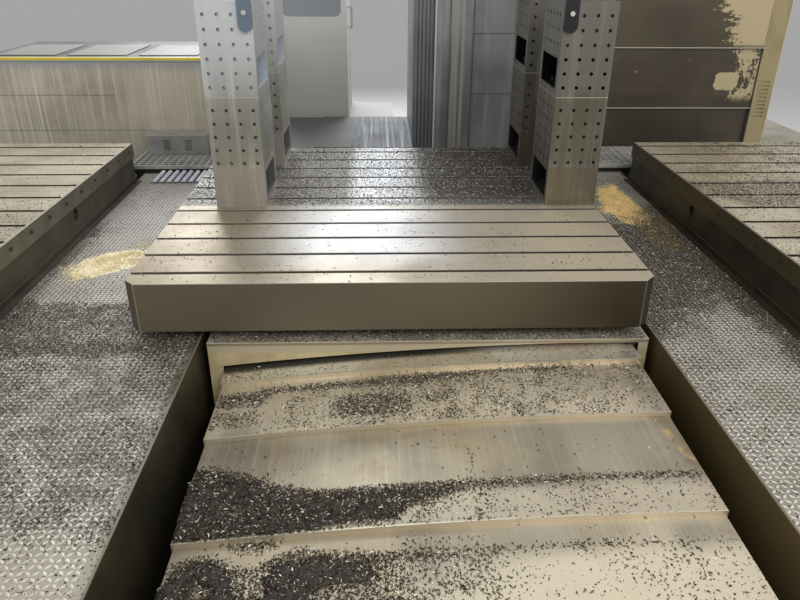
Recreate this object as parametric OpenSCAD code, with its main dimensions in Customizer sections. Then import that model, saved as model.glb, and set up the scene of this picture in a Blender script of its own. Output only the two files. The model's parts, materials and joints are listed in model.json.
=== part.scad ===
// Travelling-column machining center with a T-slotted rotary table between two floor plates

/* [Levels] */
// Height of the table top above the floor
table_top_z = 1400; // [1200:10:1700]
// Height of the decks above the floor
deck_z = 1090; // [1000:10:1130]
// Height of the bed casting
bed_h = 560; // [480:10:600]

/* [Rotary table] */
// Width and length of the table
table_w = 2500; // [2200:10:2600]
// Height of the table's apron
apron_h = 250; // [180:5:260]
// Chamfer on the table's upright corners
table_chamfer = 50; // [20:5:120]
// Distance between T-slots on the table
table_pitch = 225; // [180:5:260]
// Number of T-slots on the table
table_slots = 11; // [7:1:11]
// Width of a T-slot's throat
throat_w = 30; // [18:1:42]
// Depth of a T-slot's throat
throat_d = 34; // [20:1:50]
// Width of a T-slot's head
slot_w = 52; // [44:1:70]
// Height of a T-slot's head
slot_h = 22; // [16:1:30]

/* [Fixture towers] */
// Width of a tower block
block_w = 300; // [220:5:360]
// Depth of a tower block
block_d = 465; // [380:5:520]
// Height of the lower block
lower_h = 641; // [500:1:700]
// Height of the upper block
upper_h = 505; // [420:1:640]
// Distance from the table's left edge to the middle of the left towers
tower_left_in = 371; // [180:1:500]
// Distance from the table's right edge to the middle of the right towers
tower_right_in = 150; // [150:1:400]
// Distance from the table's front edge to the front towers
tower_front = 1092; // [700:4:1200]
// Distance between the front and the rear towers' front faces
tower_step = 904; // [700:4:930]
// Distance between the holes in the blocks
hole_pitch = 76; // [60:1:90]
// Diameter of the holes in the blocks
hole_d = 20; // [12:1:26]
// Depth of the holes in the blocks
hole_depth = 36; // [20:1:60]
// Height of the window above a block's foot
window_h = 165; // [100:5:200]
// Thickness of a block's foot
foot_t = 40; // [25:1:60]

/* [Saddle and bed] */
// Distance from the table's centre to the trough's left wall
trough_left = 925; // [850:5:980]
// Distance from the table's centre to the trough's right wall
trough_right = 1286; // [1200:5:1340]
// Thickness of the trough's sheet walls
wall_t = 8; // [4:1:12]
// Distance from the table's centre to each guideway
way_x = 620; // [500:10:680]
// Width of a guideway
way_w = 150; // [110:5:180]
// Height of a guideway
way_h = 70; // [50:5:90]
// Length of the bed in front of the table
bed_front = 2020; // [1980:10:2200]
// Diameter of the feed screw
screw_d = 80; // [50:2:100]

/* [Way covers] */
// Gap between the trough's walls and the way covers
cover_gap = 104; // [80:2:130]
// Radius of a way cover's bow
bow_r = 18800; // [15000:100:40000]
// Depth of the first way cover's crown below the deck
cover_drop = 38; // [34:1:60]
// Step down from one way cover to the next
cover_step = 20; // [16:1:26]
// Thickness of a way cover's sheet
sheet_t = 5; // [3:1:8]
// Overlap of the way covers when drawn out
cover_lap = 60; // [40:5:80]

/* [Floor plates and decks] */
// Distance from the table's centre to the floor plates
plate_x = 2015; // [1850:5:2300]
// Width of a floor plate
plate_w = 1500; // [1200:10:1800]
// Length of a floor plate
plate_l = 2700; // [2650:10:2900]
// Thickness of a floor plate
plate_t = 110; // [90:5:140]
// Distance between T-slots on the floor plates
plate_pitch = 250; // [200:5:255]
// Number of T-slots on a floor plate
plate_slots = 10; // [6:1:10]
// Thickness of the decks' tread plate
deck_t = 10; // [6:1:16]
// Depth of a rear grating
grating_d = 600; // [400:10:620]
// Height of the gratings above the deck
grating_rise = 60; // [40:5:80]
// Spacing of the grating's bars
grating_pitch = 62; // [40:1:80]

/* [Rear] */
// Distance from the table's centre to the rear guard
rear_y = 2260; // [2250:5:2300]
// Height of the guard's yellow edge above the table top
guard_top = 535; // [400:5:600]
// Depth of the cross bed
cross_d = 1340; // [1200:10:1500]
// Width of the column
column_w = 3304; // [3200:4:3400]
// Distance from the table's centre to the column's left side
column_x = 266; // [200:2:400]
// Height of the column above the cross bed
column_h = 3400; // [3350:10:3600]
// Depth of the column
column_d = 1200; // [1100:10:1300]
// Height of the headstock's lower edge above the table top
head_rise = 1154; // [1050:1:1300]
// Height of the upper seam of the column's cover above the table top
seam_rise = 623; // [560:1:700]
// Overlap of the column's covers
head_lap = 247; // [240:1:300]
// Width of the operator cab
cab_w = 852; // [700:4:1000]
// Height of the operator cab
cab_h = 2300; // [2100:10:2500]

/* [Hidden] */
$fn = 48;

// Clearances
fit = 0.3;
run_fit = 0.05;
over = 1;

// Rotary table
apron_z = table_top_z - apron_h;
table_front = -table_w / 2;
ring_r = 900;
ring_wall = 200;
ring_gap = apron_z - deck_z;
ring_h = ring_gap / 2;
pivot_r = 150;
pivot_l = 180;
throat_z = table_top_z - throat_d;

// Towers
tower_left = table_w / 2 - tower_left_in;
tower_right = table_w / 2 - tower_right_in;
tower_y = [table_front + tower_front, table_front + tower_front + tower_step];
window_wall = 45;
window_web = 24;
row_margin = 72;
front_cols = 4;
side_cols = 5;
lower_rows = 5;
upper_rows = 6;
bolt_d = 24;
bolt_x = 75;
bolt_gap = 1;
bolt_reach = 60;
head_t = 18;
head_af = 38;

// Trough, saddle and covers
slab_h = 120;
trough_w = trough_left + trough_right;
trough_x = (trough_right - trough_left) / 2;
cover_w = trough_w - 2 * cover_gap;
cover_x0 = trough_x - cover_w / 2;
crown_x = cover_x0 + cover_w + 55;
crown_z = deck_z - cover_drop;
cover_nest = sheet_t + 2;
bow_steps = 22;
skirt_h = 90;
bulkhead_t = 8;
way_top = bed_h + way_h;
bed_y0 = table_front - bed_front;
bed_y1 = rear_y - 60;
saddle_gap = 31;
saddle_w = trough_w - 2 * saddle_gap;
saddle_y0 = table_front - 12;
saddle_l = -2 * saddle_y0;
saddle_pocket = 150;
ledge_t = 16;
saddle_plate_t = 12;
opening_rise = 22;
opening_side = 66;
gib_w = 55;
cover_lips = [131, 539, 1108, 1650, bed_front];
rear_reach = 760;

// Feed drive
screw_z = bed_h - 60;
nut_d = screw_d + 80;
nut_l = 260;
support_t = 60;
support_r = 120;
motor_d = 240;
journal_out = 40;
journal_d = screw_d - 24;
motor_l = 340;
screw_y0 = bed_y0 + motor_l + 220;
screw_y1 = bed_y1 - 120;

// Floor plates and decks
plate_y1 = 1410;
plate_y0 = plate_y1 - plate_l;
plate_z = table_top_z - plate_t;
band_t = 14;
plate_first = 125;
band_bolt_z = table_top_z - 45;
band_bolt_d = 16;
band_bolt_shift = 0.08;
deck_y1 = rear_y - grating_d - 10;
base_x0 = plate_x + band_t;
base_x1 = plate_x + plate_w;
port_d = 76;
port_y = 190;
port_z = plate_z - 55;
port_depth = 20;
beam_w = 60;
beam_h = 100;
deck_spans = 2;
rail_w = 46;
rail_h = 40;
grating_z = deck_z + grating_rise;
bar_t = 5;
bar_h = 30;
frame_t = 8;
terminal_x = 2088;

// Rear
cross_y0 = rear_y + 10;
cross_top = grating_z;
cross_h = deck_z - 80;
cross_way_h = 50;
cross_x0 = -1500;
column_x1 = column_x + column_w;
cross_x1 = column_x1 + 700;
cross_end_t = 20;
cross_left = 916;
walk_z = table_top_z + guard_top;
walk_d = 1240;
guard_d = 60;
walk_t = 60;
walk_x0 = -(plate_x + plate_w);
walk_x1 = cross_x0 - 20;
cab_x0 = -1228;
cab_y0 = cross_y0 + cross_d + 60;
cab_d = 1100;
cab_t = 40;
cab_step_z = table_top_z + 539;
window_z = table_top_z + 766;
window_side = 186;
window_w = 608;
window_h2 = 600;
window_r = 60;
door_w = 700;
door_h = 1950;
door_y = 220;
handle_z = deck_z + 930;
handle_l = 240;

// Column
column_z0 = cross_h + cross_way_h + fit;
column_y0 = rear_y + 190;
upright_w = 934;
post_w = 170;
right_upright_w = 570;
head_x = column_x + upright_w;
portal_w = column_w - upright_w - right_upright_w;
portal_z0 = column_z0 + 420;
portal_top = 300;
louvres = 10;
louvre_z = table_top_z + 15;
louvre_pitch = 34;
core_wall = 80;
core_foot = 300;
core_holes = 3;
core_hole_d = 260;
column_top = column_z0 + column_h;
cover_front = rear_y + 50;
cover_span = column_w - upright_w - post_w;
head_z = table_top_z + head_rise;
head_h = 1000;
head_l = 1700;
head_nest = 22;
head_foot = column_z0 + 20;
head_seams = [table_top_z + 92, table_top_z + seam_rise];
head_gap = 2;
ram_w = 420;
ram_l = 1600;
spindle_x = head_x + portal_w / 2;
spindle_z = head_z + head_h / 2;
spindle_r = 110;

// Box given by its lowest corner and its highest corner
module block(lo, hi) {
    translate(lo)
        cube(hi - lo);
}

// Upright hexagon head
module hex_head(af, t) {
    cylinder(d = af / cos(30), h = t, $fn = 6);
}

// Extrudes an outline in X and Z along Y
module along_y(y0, y1) {
    translate([0, y1, 0])
        rotate([90, 0, 0])
            linear_extrude(y1 - y0)
                children();
}

// Extrudes an outline in Y and Z along X
module along_x(x0, x1) {
    translate([x0, 0, 0])
        rotate([90, 0, 90])
            linear_extrude(x1 - x0)
                children();
}

// Mirrors a right-hand piece to the left where side is negative
module handed(side) {
    if (side < 0)
        mirror([1, 0, 0])
            children();
    else
        children();
}

// Height of the bow below the crown at x
function bow(x) = bow_r - sqrt(bow_r * bow_r - (x - crown_x) * (x - crown_x));

// Outline of a bowed band in X and Z, top at the given height, with its ends at x0 and x1
function bow_band(x0, x1, top, t) = concat(
    [for (i = [0:bow_steps]) let (x = x0 + (x1 - x0) * i / bow_steps) [x, top - bow(x)]],
    [for (i = [bow_steps:-1:0]) let (x = x0 + (x1 - x0) * i / bow_steps) [x, top - bow(x) - t]]
);

// Bed casting on a slab that meets the cross bed, with guideways, a channel for the feed screw and end walls
module bed() {
    wall_x = way_x + way_w / 2 + 60;
    channel = way_x - way_w / 2 - 60;
    color("dimgray") {
        difference() {
            union() {
                block([-trough_left, bed_y0, 0], [trough_right, cross_y0, slab_h]);
                for (side = [-1, 1])
                    translate([side * way_x - (wall_x - channel) / 2, bed_y0, slab_h - over])
                        cube([wall_x - channel, bed_y1 - bed_y0, bed_h - slab_h + over]);
                block([-channel - over, bed_y0, slab_h - over], [channel + over, bed_y0 + 40, bed_h]);
                block([-channel - over, bed_y1 - 40, slab_h - over], [channel + over, bed_y1, bed_h]);
                for (side = [-1, 1])
                    translate([side * way_x - way_w / 2, bed_y0, bed_h - over])
                        cube([way_w, bed_y1 - bed_y0, way_h + over]);
            }
            for (side = [-1, 1], y = [bed_y0 + 400:700:bed_y1 - 500])
                translate([side * way_x, y, slab_h + (bed_h - slab_h) / 2])
                    rotate([0, 90, 0])
                        cylinder(d = 220, h = wall_x - channel + 2 * over, center = true);
        }
    }
}

// Trough walls, each a sheet with a foot flange and a flange under the deck
module trough_walls() {
    top = deck_z + 12;
    flange = 50;
    color("black")
        for (side = [-1, 1]) {
            x = side < 0 ? -trough_left : trough_right;
            out = x + side * wall_t;
            edge = x + side * flange;
            along_y(bed_y0, bed_y1)
                polygon([
                    [x, slab_h], [x, top], [out, top], [out, deck_z - deck_t], [edge, deck_z - deck_t],
                    [edge, deck_z - deck_t - wall_t], [out, deck_z - deck_t - wall_t], [out, 0], [x, 0]
                ]);
        }
}

// Tread plate deck from the trough to the floor plate, on beams and posts
module deck(side) {
    x0 = (side < 0 ? trough_left : trough_right) + wall_t + 1;
    x1 = base_x0 - 1;
    beam_z = deck_z - deck_t - beam_h;
    color("slategray")
        handed(side) {
            block([x0, bed_y0, deck_z - deck_t], [x1, deck_y1, deck_z]);
            for (x = [x0 + 50, x1 - beam_w - 10])
                block([x, bed_y0, beam_z], [x + beam_w, deck_y1, deck_z - deck_t]);
            for (i = [0:deck_spans]) {
                y = bed_y0 + (deck_y1 - bed_y0 - beam_w) * i / deck_spans;
                block([x0 + 50, y, beam_z], [x1 - 10, y + beam_w, deck_z - deck_t]);
                for (x = [x0 + 50, x1 - beam_w - 10])
                    block([x, y, 0], [x + beam_w, y + beam_w, beam_z]);
            }
        }
}
module deck_left() { deck(-1); }
module deck_right() { deck(1); }

// Cast base below a floor plate, cored from below, with a round port in its inner face
module side_base(side) {
    wall = 60;
    cells = 3;
    cell = (plate_l - (cells + 1) * wall) / cells;
    color("darkslategray")
        handed(side)
            difference() {
                block([base_x0, plate_y0, 0], [base_x1, plate_y1, plate_z]);
                for (i = [0:cells - 1])
                    translate([base_x0 + wall, plate_y0 + wall + i * (cell + wall), -over])
                        cube([base_x1 - base_x0 - 2 * wall, cell, plate_z - wall + over]);
                translate([base_x0 - over, port_y, port_z])
                    rotate([0, 90, 0])
                        cylinder(d = port_d, h = port_depth + over);
            }
}
module side_base_left() { side_base(-1); }
module side_base_right() { side_base(1); }

// T-slot along X, open at both ends, at y and with its top at the working face
module t_slot(x0, x1, y, top) {
    block([x0 - over, y - throat_w / 2, top - throat_d - over],
        [x1 + over, y + throat_w / 2, top + over]);
    block([x0 - over, y - slot_w / 2, top - throat_d - slot_h],
        [x1 + over, y + slot_w / 2, top - throat_d]);
}

// T-slotted floor plate
module side_plate(side) {
    color("gray")
        handed(side)
            difference() {
                block([base_x0, plate_y0, plate_z], [base_x1, plate_y1, table_top_z]);
                for (i = [0:plate_slots - 1])
                    t_slot(base_x0, base_x1, plate_y1 - plate_first - i * plate_pitch, table_top_z);
            }
}
module side_plate_left() { side_plate(-1); }
module side_plate_right() { side_plate(1); }

// Place along Y of a band's bolt, just behind its slot
function band_bolt_y(i) = plate_y1 - plate_first - (i - band_bolt_shift) * plate_pitch;

// Band along the inner face of each floor plate, which closes the slots' ends
module plate_bands() {
    color("dimgray")
        for (side = [-1, 1])
            handed(side)
                difference() {
                    block([plate_x, plate_y0, plate_z], [plate_x + band_t, plate_y1, table_top_z]);
                    for (i = [0:plate_slots - 1])
                        translate([plate_x - over, band_bolt_y(i), band_bolt_z])
                            rotate([0, 90, 0])
                                cylinder(d = band_bolt_d + 1, h = band_t + 2 * over);
                }
}
// Bolts of the bands
module plate_bolts() {
    color("black")
        for (side = [-1, 1], i = [0:plate_slots - 1])
            handed(side)
                translate([plate_x, band_bolt_y(i), band_bolt_z])
                    rotate([0, 90, 0]) {
                        cylinder(d = band_bolt_d, h = band_t);
                        translate([0, 0, -8])
                            difference() {
                                cylinder(d = 24, h = 8);
                                translate([0, 0, -over])
                                    hex_head(11, 5 + over);
                            }
                    }
}

// Angle rail on the deck along the foot of each base
module foot_rails() {
    color("dimgray")
        for (side = [-1, 1])
            handed(side)
                along_y(plate_y0, plate_y1)
                    polygon([
                        [base_x0 - fit, deck_z], [base_x0 - fit, deck_z + rail_h],
                        [base_x0 - 7, deck_z + rail_h], [base_x0 - 7, deck_z + 6],
                        [base_x0 - rail_w, deck_z + 6], [base_x0 - rail_w, deck_z]
                    ]);
}

// Grating at the rear: a frame with crossed bars on four legs, up to the guard or the cross bed
module grating(x0, x1, y1) {
    y0 = rear_y - grating_d;
    z0 = grating_z - bar_h;
    leg_in = 40;
    nx = floor((x1 - x0) / grating_pitch);
    ny = floor((y1 - y0) / grating_pitch);
    difference() {
        block([x0, y0, deck_z - deck_t], [x1, y1, grating_z]);
        block([x0 + frame_t, y0 + frame_t, deck_z - deck_t - over],
            [x1 - frame_t, y1 - frame_t, grating_z + over]);
    }
    for (i = [1:nx - 1])
        translate([x0 + (x1 - x0) * i / nx - bar_t / 2, y0 + over, z0])
            cube([bar_t, y1 - y0 - 2 * over, bar_h]);
    for (i = [1:ny - 1])
        translate([x0 + over, y0 + (y1 - y0) * i / ny - bar_t / 2, z0])
            cube([x1 - x0 - 2 * over, bar_t, bar_h]);
    for (x = [x0 + leg_in, x1 - leg_in - beam_w], y = [y0, y1 - beam_w])
        block([x, y, 0], [x + beam_w, y + beam_w, z0]);
}
module gratings() {
    color("darkgray") {
        grating(-(base_x0 + 120), -(trough_left + wall_t + 12), rear_y);
        grating(trough_right + wall_t + 12, base_x0 + 320, cross_y0);
    }
}

// Ribbed step in front of the left grating
module rear_step() {
    ribs = 8;
    pitch = 58;
    w = ribs * pitch;
    l = 300;
    x0 = -1900;
    y0 = deck_y1 - l;
    color("lightsteelblue") {
        block([x0, y0, deck_z], [x0 + w, deck_y1 - 1, deck_z + 6]);
        for (i = [0:ribs - 1])
            translate([x0 + (i + 0.5) * pitch, deck_y1 - 1, deck_z + 6])
                rotate([90, 0, 0])
                    intersection() {
                        cylinder(d = pitch * 0.62, h = l - 1);
                        translate([-pitch, 0, -over])
                            cube([2 * pitch, pitch, l + 2 * over]);
                    }
    }
}

// Terminal box with louvres, on the left grating
module terminal_box() {
    w = 520;
    d = 240;
    h = 165;
    skin = 6;
    color("black")
        translate([-terminal_x, rear_y - 6 - d, grating_z])
            difference() {
                cube([w, d, h]);
                translate([skin, skin, -over])
                    cube([w - 2 * skin, d - 2 * skin, h - skin + over]);
                for (k = [0:1], i = [0:4])
                    translate([w * (0.26 + 0.36 * k), -over, 40 + 20 * i])
                        cube([60, skin + 2 * over, 8]);
            }
}

// Sheet guard below the walkway's front edge
module left_guard() {
    color("tan")
        difference() {
            block([walk_x0, rear_y, 0], [walk_x1, rear_y + guard_d, walk_z]);
            block([walk_x0 + 6, rear_y + 6, -over], [walk_x1 - 6, rear_y + guard_d + over, walk_z - 6]);
        }
}

// Yellow edge rail along the walkway's front
module guard_edge() {
    color("gold")
        along_x(walk_x0, walk_x1)
            polygon([
                [rear_y - 4, walk_z - 34], [rear_y, walk_z - 34], [rear_y, walk_z],
                [rear_y + 40, walk_z], [rear_y + 40, walk_z + 4], [rear_y - 4, walk_z + 4]
            ]);
}

// Walkway on its frame, with raised mats
module walkway() {
    y0 = rear_y + guard_d;
    y1 = rear_y + walk_d;
    mats = 3;
    color("slategray") {
        difference() {
            block([walk_x0, y0, walk_z - walk_t], [walk_x1, y1, walk_z]);
            block([walk_x0 + 60, y0 + 60, walk_z - walk_t - over], [walk_x1 - 60, y1 - 60, walk_z - 8]);
        }
        for (x = [walk_x0, walk_x1 - 80], y = [y0, y1 - 80])
            block([x, y, 0], [x + 80, y + 80, walk_z - walk_t + over]);
    }
    color("lightgray")
        for (i = [0:mats - 1])
            translate([walk_x0 + 90 + i * (walk_x1 - walk_x0 - 120) / mats, y0 + 90, walk_z - over])
                cube([(walk_x1 - walk_x0 - 120) / mats - 110, y1 - y0 - 420, 8 + over]);
}

// Bed along X behind the table, cored from below, with two guideways and a channel between them
module cross_bed() {
    wall = 60;
    channel = 400;
    cells = 5;
    cell = (cross_x1 - cross_x0 - (cells + 1) * wall) / cells;
    color("dimgray") {
        difference() {
            block([cross_x0, cross_y0, 0], [cross_x1, cross_y0 + cross_d, cross_h]);
            block([cross_x0 + wall, cross_y0 + (cross_d - channel) / 2, 200],
                [cross_x1 - wall, cross_y0 + (cross_d + channel) / 2, cross_h + over]);
            for (y = [cross_y0 + wall, cross_y0 + (cross_d + channel) / 2 + wall], i = [0:cells - 1])
                translate([cross_x0 + wall + i * (cell + wall), y, -over])
                    cube([cell, (cross_d - channel) / 2 - 2 * wall, cross_h - 2 * wall + over]);
        }
        for (y = [cross_y0 + 220, cross_y0 + cross_d - 360])
            block([cross_x0, y, cross_h - over], [cross_x1, y + 140, cross_h + cross_way_h]);
        for (x = [cross_x0, cross_x1 - cross_end_t])
            block([x, cross_y0, cross_h - over], [x + cross_end_t, cross_y0 + cross_d, cross_top - 20]);
    }
}

// Flat way cover over the cross bed, open below, at the given depth below the top
module cross_cover(x0, x1, level) {
    inset = level * cover_nest;
    foot = cross_h + (level == 0 ? fit : 0);
    y0 = cross_y0 + inset;
    y1 = cross_y0 + cross_d - inset;
    top = cross_top - level * cover_nest;
    color("silver")
        difference() {
            block([x0, y0, foot], [x1, y1, top]);
            block([x0 - over, y0 + sheet_t, foot - over], [x1 + over, y1 - sheet_t, top - sheet_t]);
        }
}
module cross_cover_left_1() { cross_cover(column_x - cross_left, column_x, 0); }
module cross_cover_left_2() { cross_cover(cross_x0 + cross_end_t, column_x - cross_left + cover_lap, 1); }
module cross_cover_right_1() { cross_cover(column_x1, cross_x1 - cross_end_t - 20, 0); }
module cross_cover_right_2() { cross_cover(column_x1 + 20, cross_x1 - cross_end_t, 1); }

// Plain rounded window outline
module window_outline(w, h, r) {
    hull()
        for (x = [r, w - r], z = [r, h - r])
            translate([x, z])
                circle(r = r, $fn = 32);
}

// Operator cab on its plinth, with a door opening on the right
module cab_shell() {
    z0 = deck_z;
    z1 = deck_z + cab_h;
    color("gray")
        difference() {
            union() {
                block([cab_x0 - 40, cab_y0 - 10, 0], [cab_x0 + cab_w + 500, cab_y0 + cab_d, z0]);
                block([cab_x0 - 40, cross_y0 + cross_d, 0], [cab_x0 + cab_w + 500, cab_y0, cross_h - 200]);
                block([cab_x0, cab_y0, z0 - over], [cab_x0 + cab_w, cab_y0 + cab_d, cab_step_z]);
                block([cab_x0, cab_y0 + 24, cab_step_z - over], [cab_x0 + cab_w, cab_y0 + cab_d, z1]);
            }
            block([cab_x0 + cab_t, cab_y0 + 24 + cab_t, z0],
                [cab_x0 + cab_w - cab_t, cab_y0 + cab_d - cab_t, z1 - cab_t]);
            translate([cab_x0 + window_side, cab_y0 + 24 + cab_t + over, window_z])
                rotate([90, 0, 0])
                    linear_extrude(cab_t + 2 * over)
                        window_outline(window_w, window_h2, window_r);
            block([cab_x0 + cab_w - cab_t - over, cab_y0 + door_y, z0],
                [cab_x0 + cab_w + over, cab_y0 + door_y + door_w, z0 + door_h]);
        }
}
// Glass pane of the cab
module cab_window() {
    color("lightblue", 0.4)
        translate([cab_x0 + window_side + 0.5, cab_y0 + 24 + cab_t / 2 + 4, window_z + 0.5])
            rotate([90, 0, 0])
                linear_extrude(8)
                    window_outline(window_w - 1, window_h2 - 1, window_r - 0.5);
}

// Cab door with its handle
module cab_door() {
    gap = 0.8;
    free_gap = 3;
    x1 = cab_x0 + cab_w;
    color("gray") {
        block([x1 - cab_t, cab_y0 + door_y + free_gap, deck_z + gap],
            [x1 - 2, cab_y0 + door_y + door_w - gap, deck_z + door_h - gap]);
        for (z = [handle_z, handle_z + handle_l - 40])
            translate([x1 - 2 - over, cab_y0 + door_y + 80, z + 20])
                rotate([0, 90, 0])
                    cylinder(d = 20, h = 50 + over);
        translate([x1 + 48, cab_y0 + door_y + 80, handle_z])
            cylinder(d = 24, h = handle_l);
    }
}

// Saddle body between the covers, with a ledge all round, gibs beside the ways and a pivot bore
module saddle() {
    y0 = saddle_y0 + saddle_pocket;
    y1 = saddle_y0 + saddle_l - saddle_pocket;
    x1 = way_x + way_w / 2 + gib_w;
    color("tan")
        difference() {
            union() {
                block([-x1, y0, way_top + fit], [x1, y1, deck_z - ledge_t + over]);
                block([trough_x - saddle_w / 2, saddle_y0, deck_z - ledge_t],
                    [trough_x + saddle_w / 2, saddle_y0 + saddle_l, deck_z]);
                for (side = [-1, 1])
                    handed(side)
                        block([way_x + way_w / 2 + fit, y0, bed_h + 6], [x1, y1, bed_h + 6 + way_h]);
                for (x = [trough_x - saddle_w / 2, trough_x + saddle_w / 2 - 60])
                    block([x, y0, deck_z - 220], [x + 60, y1, deck_z - ledge_t + over]);
                for (side = [-1, 1])
                    block([side < 0 ? trough_x - saddle_w / 2 : x1 - over, y0, deck_z - 220],
                        [side < 0 ? -x1 + over : trough_x + saddle_w / 2, y0 + 60, deck_z - ledge_t + over]);
            }
            translate([0, 0, deck_z - pivot_l - 20])
                cylinder(r = pivot_r + run_fit, h = pivot_l + 20 + over, $fn = 96);
            block([-300, y0 - over, way_top - over], [300, y1 + over, way_top + 60]);
        }
}

// Front plate under the ledge with a bowed opening, and the like plate at the rear
module end_plate(y) {
    x0 = trough_x - saddle_w / 2;
    x1 = trough_x + saddle_w / 2;
    top = deck_z - ledge_t;
    edge = crown_z + opening_rise;
    opening = concat(
        [[x0 + opening_side, way_top - 2 * over]],
        [for (i = [0:bow_steps])
            let (x = x0 + opening_side + (x1 - x0 - 2 * opening_side + 20) * i / bow_steps)
            [x, min(edge - bow(x), top - 4)]],
        [[x1 - opening_side + 20, way_top - 2 * over]]
    );
    along_y(y, y + saddle_plate_t)
        difference() {
            polygon([[x0, way_top + fit], [x0, top], [x1, top], [x1, way_top + fit]]);
            polygon(opening);
        }
}
module saddle_plate() {
    color("wheat") {
        end_plate(saddle_y0 + 3);
        end_plate(-saddle_y0 - 3 - saddle_plate_t);
    }
}

// Nut of the feed screw with its bracket to the saddle
module ball_nut() {
    color("silver")
        difference() {
            union() {
                translate([0, nut_l / 2, screw_z])
                    rotate([90, 0, 0])
                        cylinder(d = nut_d, h = nut_l);
                block([-nut_d / 2, -nut_l / 2 + 40, screw_z], [nut_d / 2, nut_l / 2 - 40, way_top + 60]);
            }
            translate([0, nut_l / 2 + over, screw_z])
                rotate([90, 0, 0])
                    cylinder(d = screw_d + 2 * run_fit, h = nut_l + 2 * over);
        }
}

// Lower bearing ring on the saddle
module rotary_bearing() {
    color("darkgray")
        translate([0, 0, deck_z])
            difference() {
                cylinder(r = ring_r, h = ring_h - fit, $fn = 128);
                translate([0, 0, -over])
                    cylinder(r = ring_r - ring_wall, h = ring_h + 2 * over, $fn = 128);
            }
}

// Feed screw with a journal at each end, the front one reaching to the motor
module feed_screw() {
    rear = support_t + 10;
    front = support_t + journal_out;
    color("silver")
        translate([0, screw_y1, screw_z])
            rotate([90, 0, 0]) {
                cylinder(d = screw_d, h = screw_y1 - screw_y0);
                translate([0, 0, -rear])
                    cylinder(d = journal_d, h = screw_y1 - screw_y0 + rear + front);
            }
}

// Bearing blocks of the feed screw, standing in the bed's channel
module screw_supports() {
    color("dimgray")
        for (y = [screw_y0 - support_t - 2, screw_y1 + 2])
            difference() {
                union() {
                    block([-support_r, y, slab_h], [support_r, y + support_t, screw_z]);
                    translate([0, y + support_t, screw_z])
                        rotate([90, 0, 0])
                            cylinder(r = support_r, h = support_t);
                }
                translate([0, y + support_t + over, screw_z])
                    rotate([90, 0, 0])
                        cylinder(d = journal_d + 2 * run_fit, h = support_t + 2 * over);
            }
}

// Feed motor behind the front support, on its foot
module feed_motor() {
    y1 = screw_y0 - support_t - journal_out - fit;
    color("black") {
        translate([0, y1, screw_z])
            rotate([90, 0, 0])
                cylinder(d = motor_d, h = motor_l);
        block([-110, y1 - motor_l + 40, slab_h], [110, y1 - 40, screw_z]);
    }
}

// Bowed way cover: sheet, skirts, wiper lip and a rear bulkhead that runs on the ways
module way_cover(level, lip_y, end_y, bulkhead = true, lip = true) {
    inset = level * cover_nest;
    x0 = cover_x0 + inset;
    x1 = cover_x0 + cover_w - inset;
    top = crown_z - level * cover_step;
    y0 = min(lip_y, end_y);
    y1 = max(lip_y, end_y);
    lip_w = 5;
    along_y(y0, y1) {
        polygon(bow_band(x0, x1, top, sheet_t));
        polygon([[x0, top - bow(x0)], [x0 + sheet_t, top - bow(x0 + sheet_t)],
            [x0 + sheet_t, top - bow(x0) - skirt_h], [x0, top - bow(x0) - skirt_h]]);
        polygon([[x1, top - bow(x1)], [x1 - sheet_t, top - bow(x1 - sheet_t)],
            [x1 - sheet_t, top - bow(x1) - skirt_h], [x1, top - bow(x1) - skirt_h]]);
    }
    if (lip)
        along_y(lip_y < end_y ? y0 : y1 - lip_w, lip_y < end_y ? y0 + lip_w : y1)
            polygon(bow_band(x0, x1, top, cover_step - fit));
    if (bulkhead)
        along_y(lip_y < end_y ? y1 - bulkhead_t : y0, lip_y < end_y ? y1 : y0 + bulkhead_t)
            polygon(concat(
                [for (i = [0:bow_steps]) let (x = x0 + (x1 - x0) * i / bow_steps) [x, top - bow(x) - over]],
                [[x1, top - bow(x1) - skirt_h], [way_x + way_w / 2, way_top + fit],
                [-way_x - way_w / 2, way_top + fit], [x0, top - bow(x0) - skirt_h]]
            ));
}

// Front covers, first to last from the saddle to the bed's end
module front_cover(i) {
    lip_y = table_front - cover_lips[i];
    end_y = i == 0 ? saddle_y0 + saddle_pocket : table_front - cover_lips[i - 1] + cover_lap;
    color("lightgray")
        way_cover(i, lip_y, end_y, bulkhead = i > 0, lip = true);
}
module front_cover_1() { front_cover(0); }
module front_cover_2() { front_cover(1); }
module front_cover_3() { front_cover(2); }
module front_cover_4() { front_cover(3); }
module front_cover_5() { front_cover(4); }

// Rear covers, from the saddle to the bed's rear end
module rear_cover_1() {
    color("lightgray")
        way_cover(0, -saddle_y0 + rear_reach, -saddle_y0 - saddle_pocket, bulkhead = false);
}
module rear_cover_2() {
    end = -saddle_y0 + 83;
    color("lightgray")
        way_cover(1, end + rear_reach, end);
}
module rear_cover_3() {
    color("lightgray")
        way_cover(2, bed_y1, bed_y1 - rear_reach);
}

// Turning table with T-slots and chamfered upright corners
module table_top() {
    c = table_chamfer;
    h = table_w / 2;
    color("silver")
        difference() {
            translate([0, 0, apron_z])
                linear_extrude(apron_h)
                    polygon([[-h + c, -h], [h - c, -h], [h, -h + c], [h, h - c],
                        [h - c, h], [-h + c, h], [-h, h - c], [-h, -h + c]]);
            for (i = [0:table_slots - 1])
                t_slot(-h, h, (i - (table_slots - 1) / 2) * table_pitch, table_top_z);
        }
}

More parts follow.
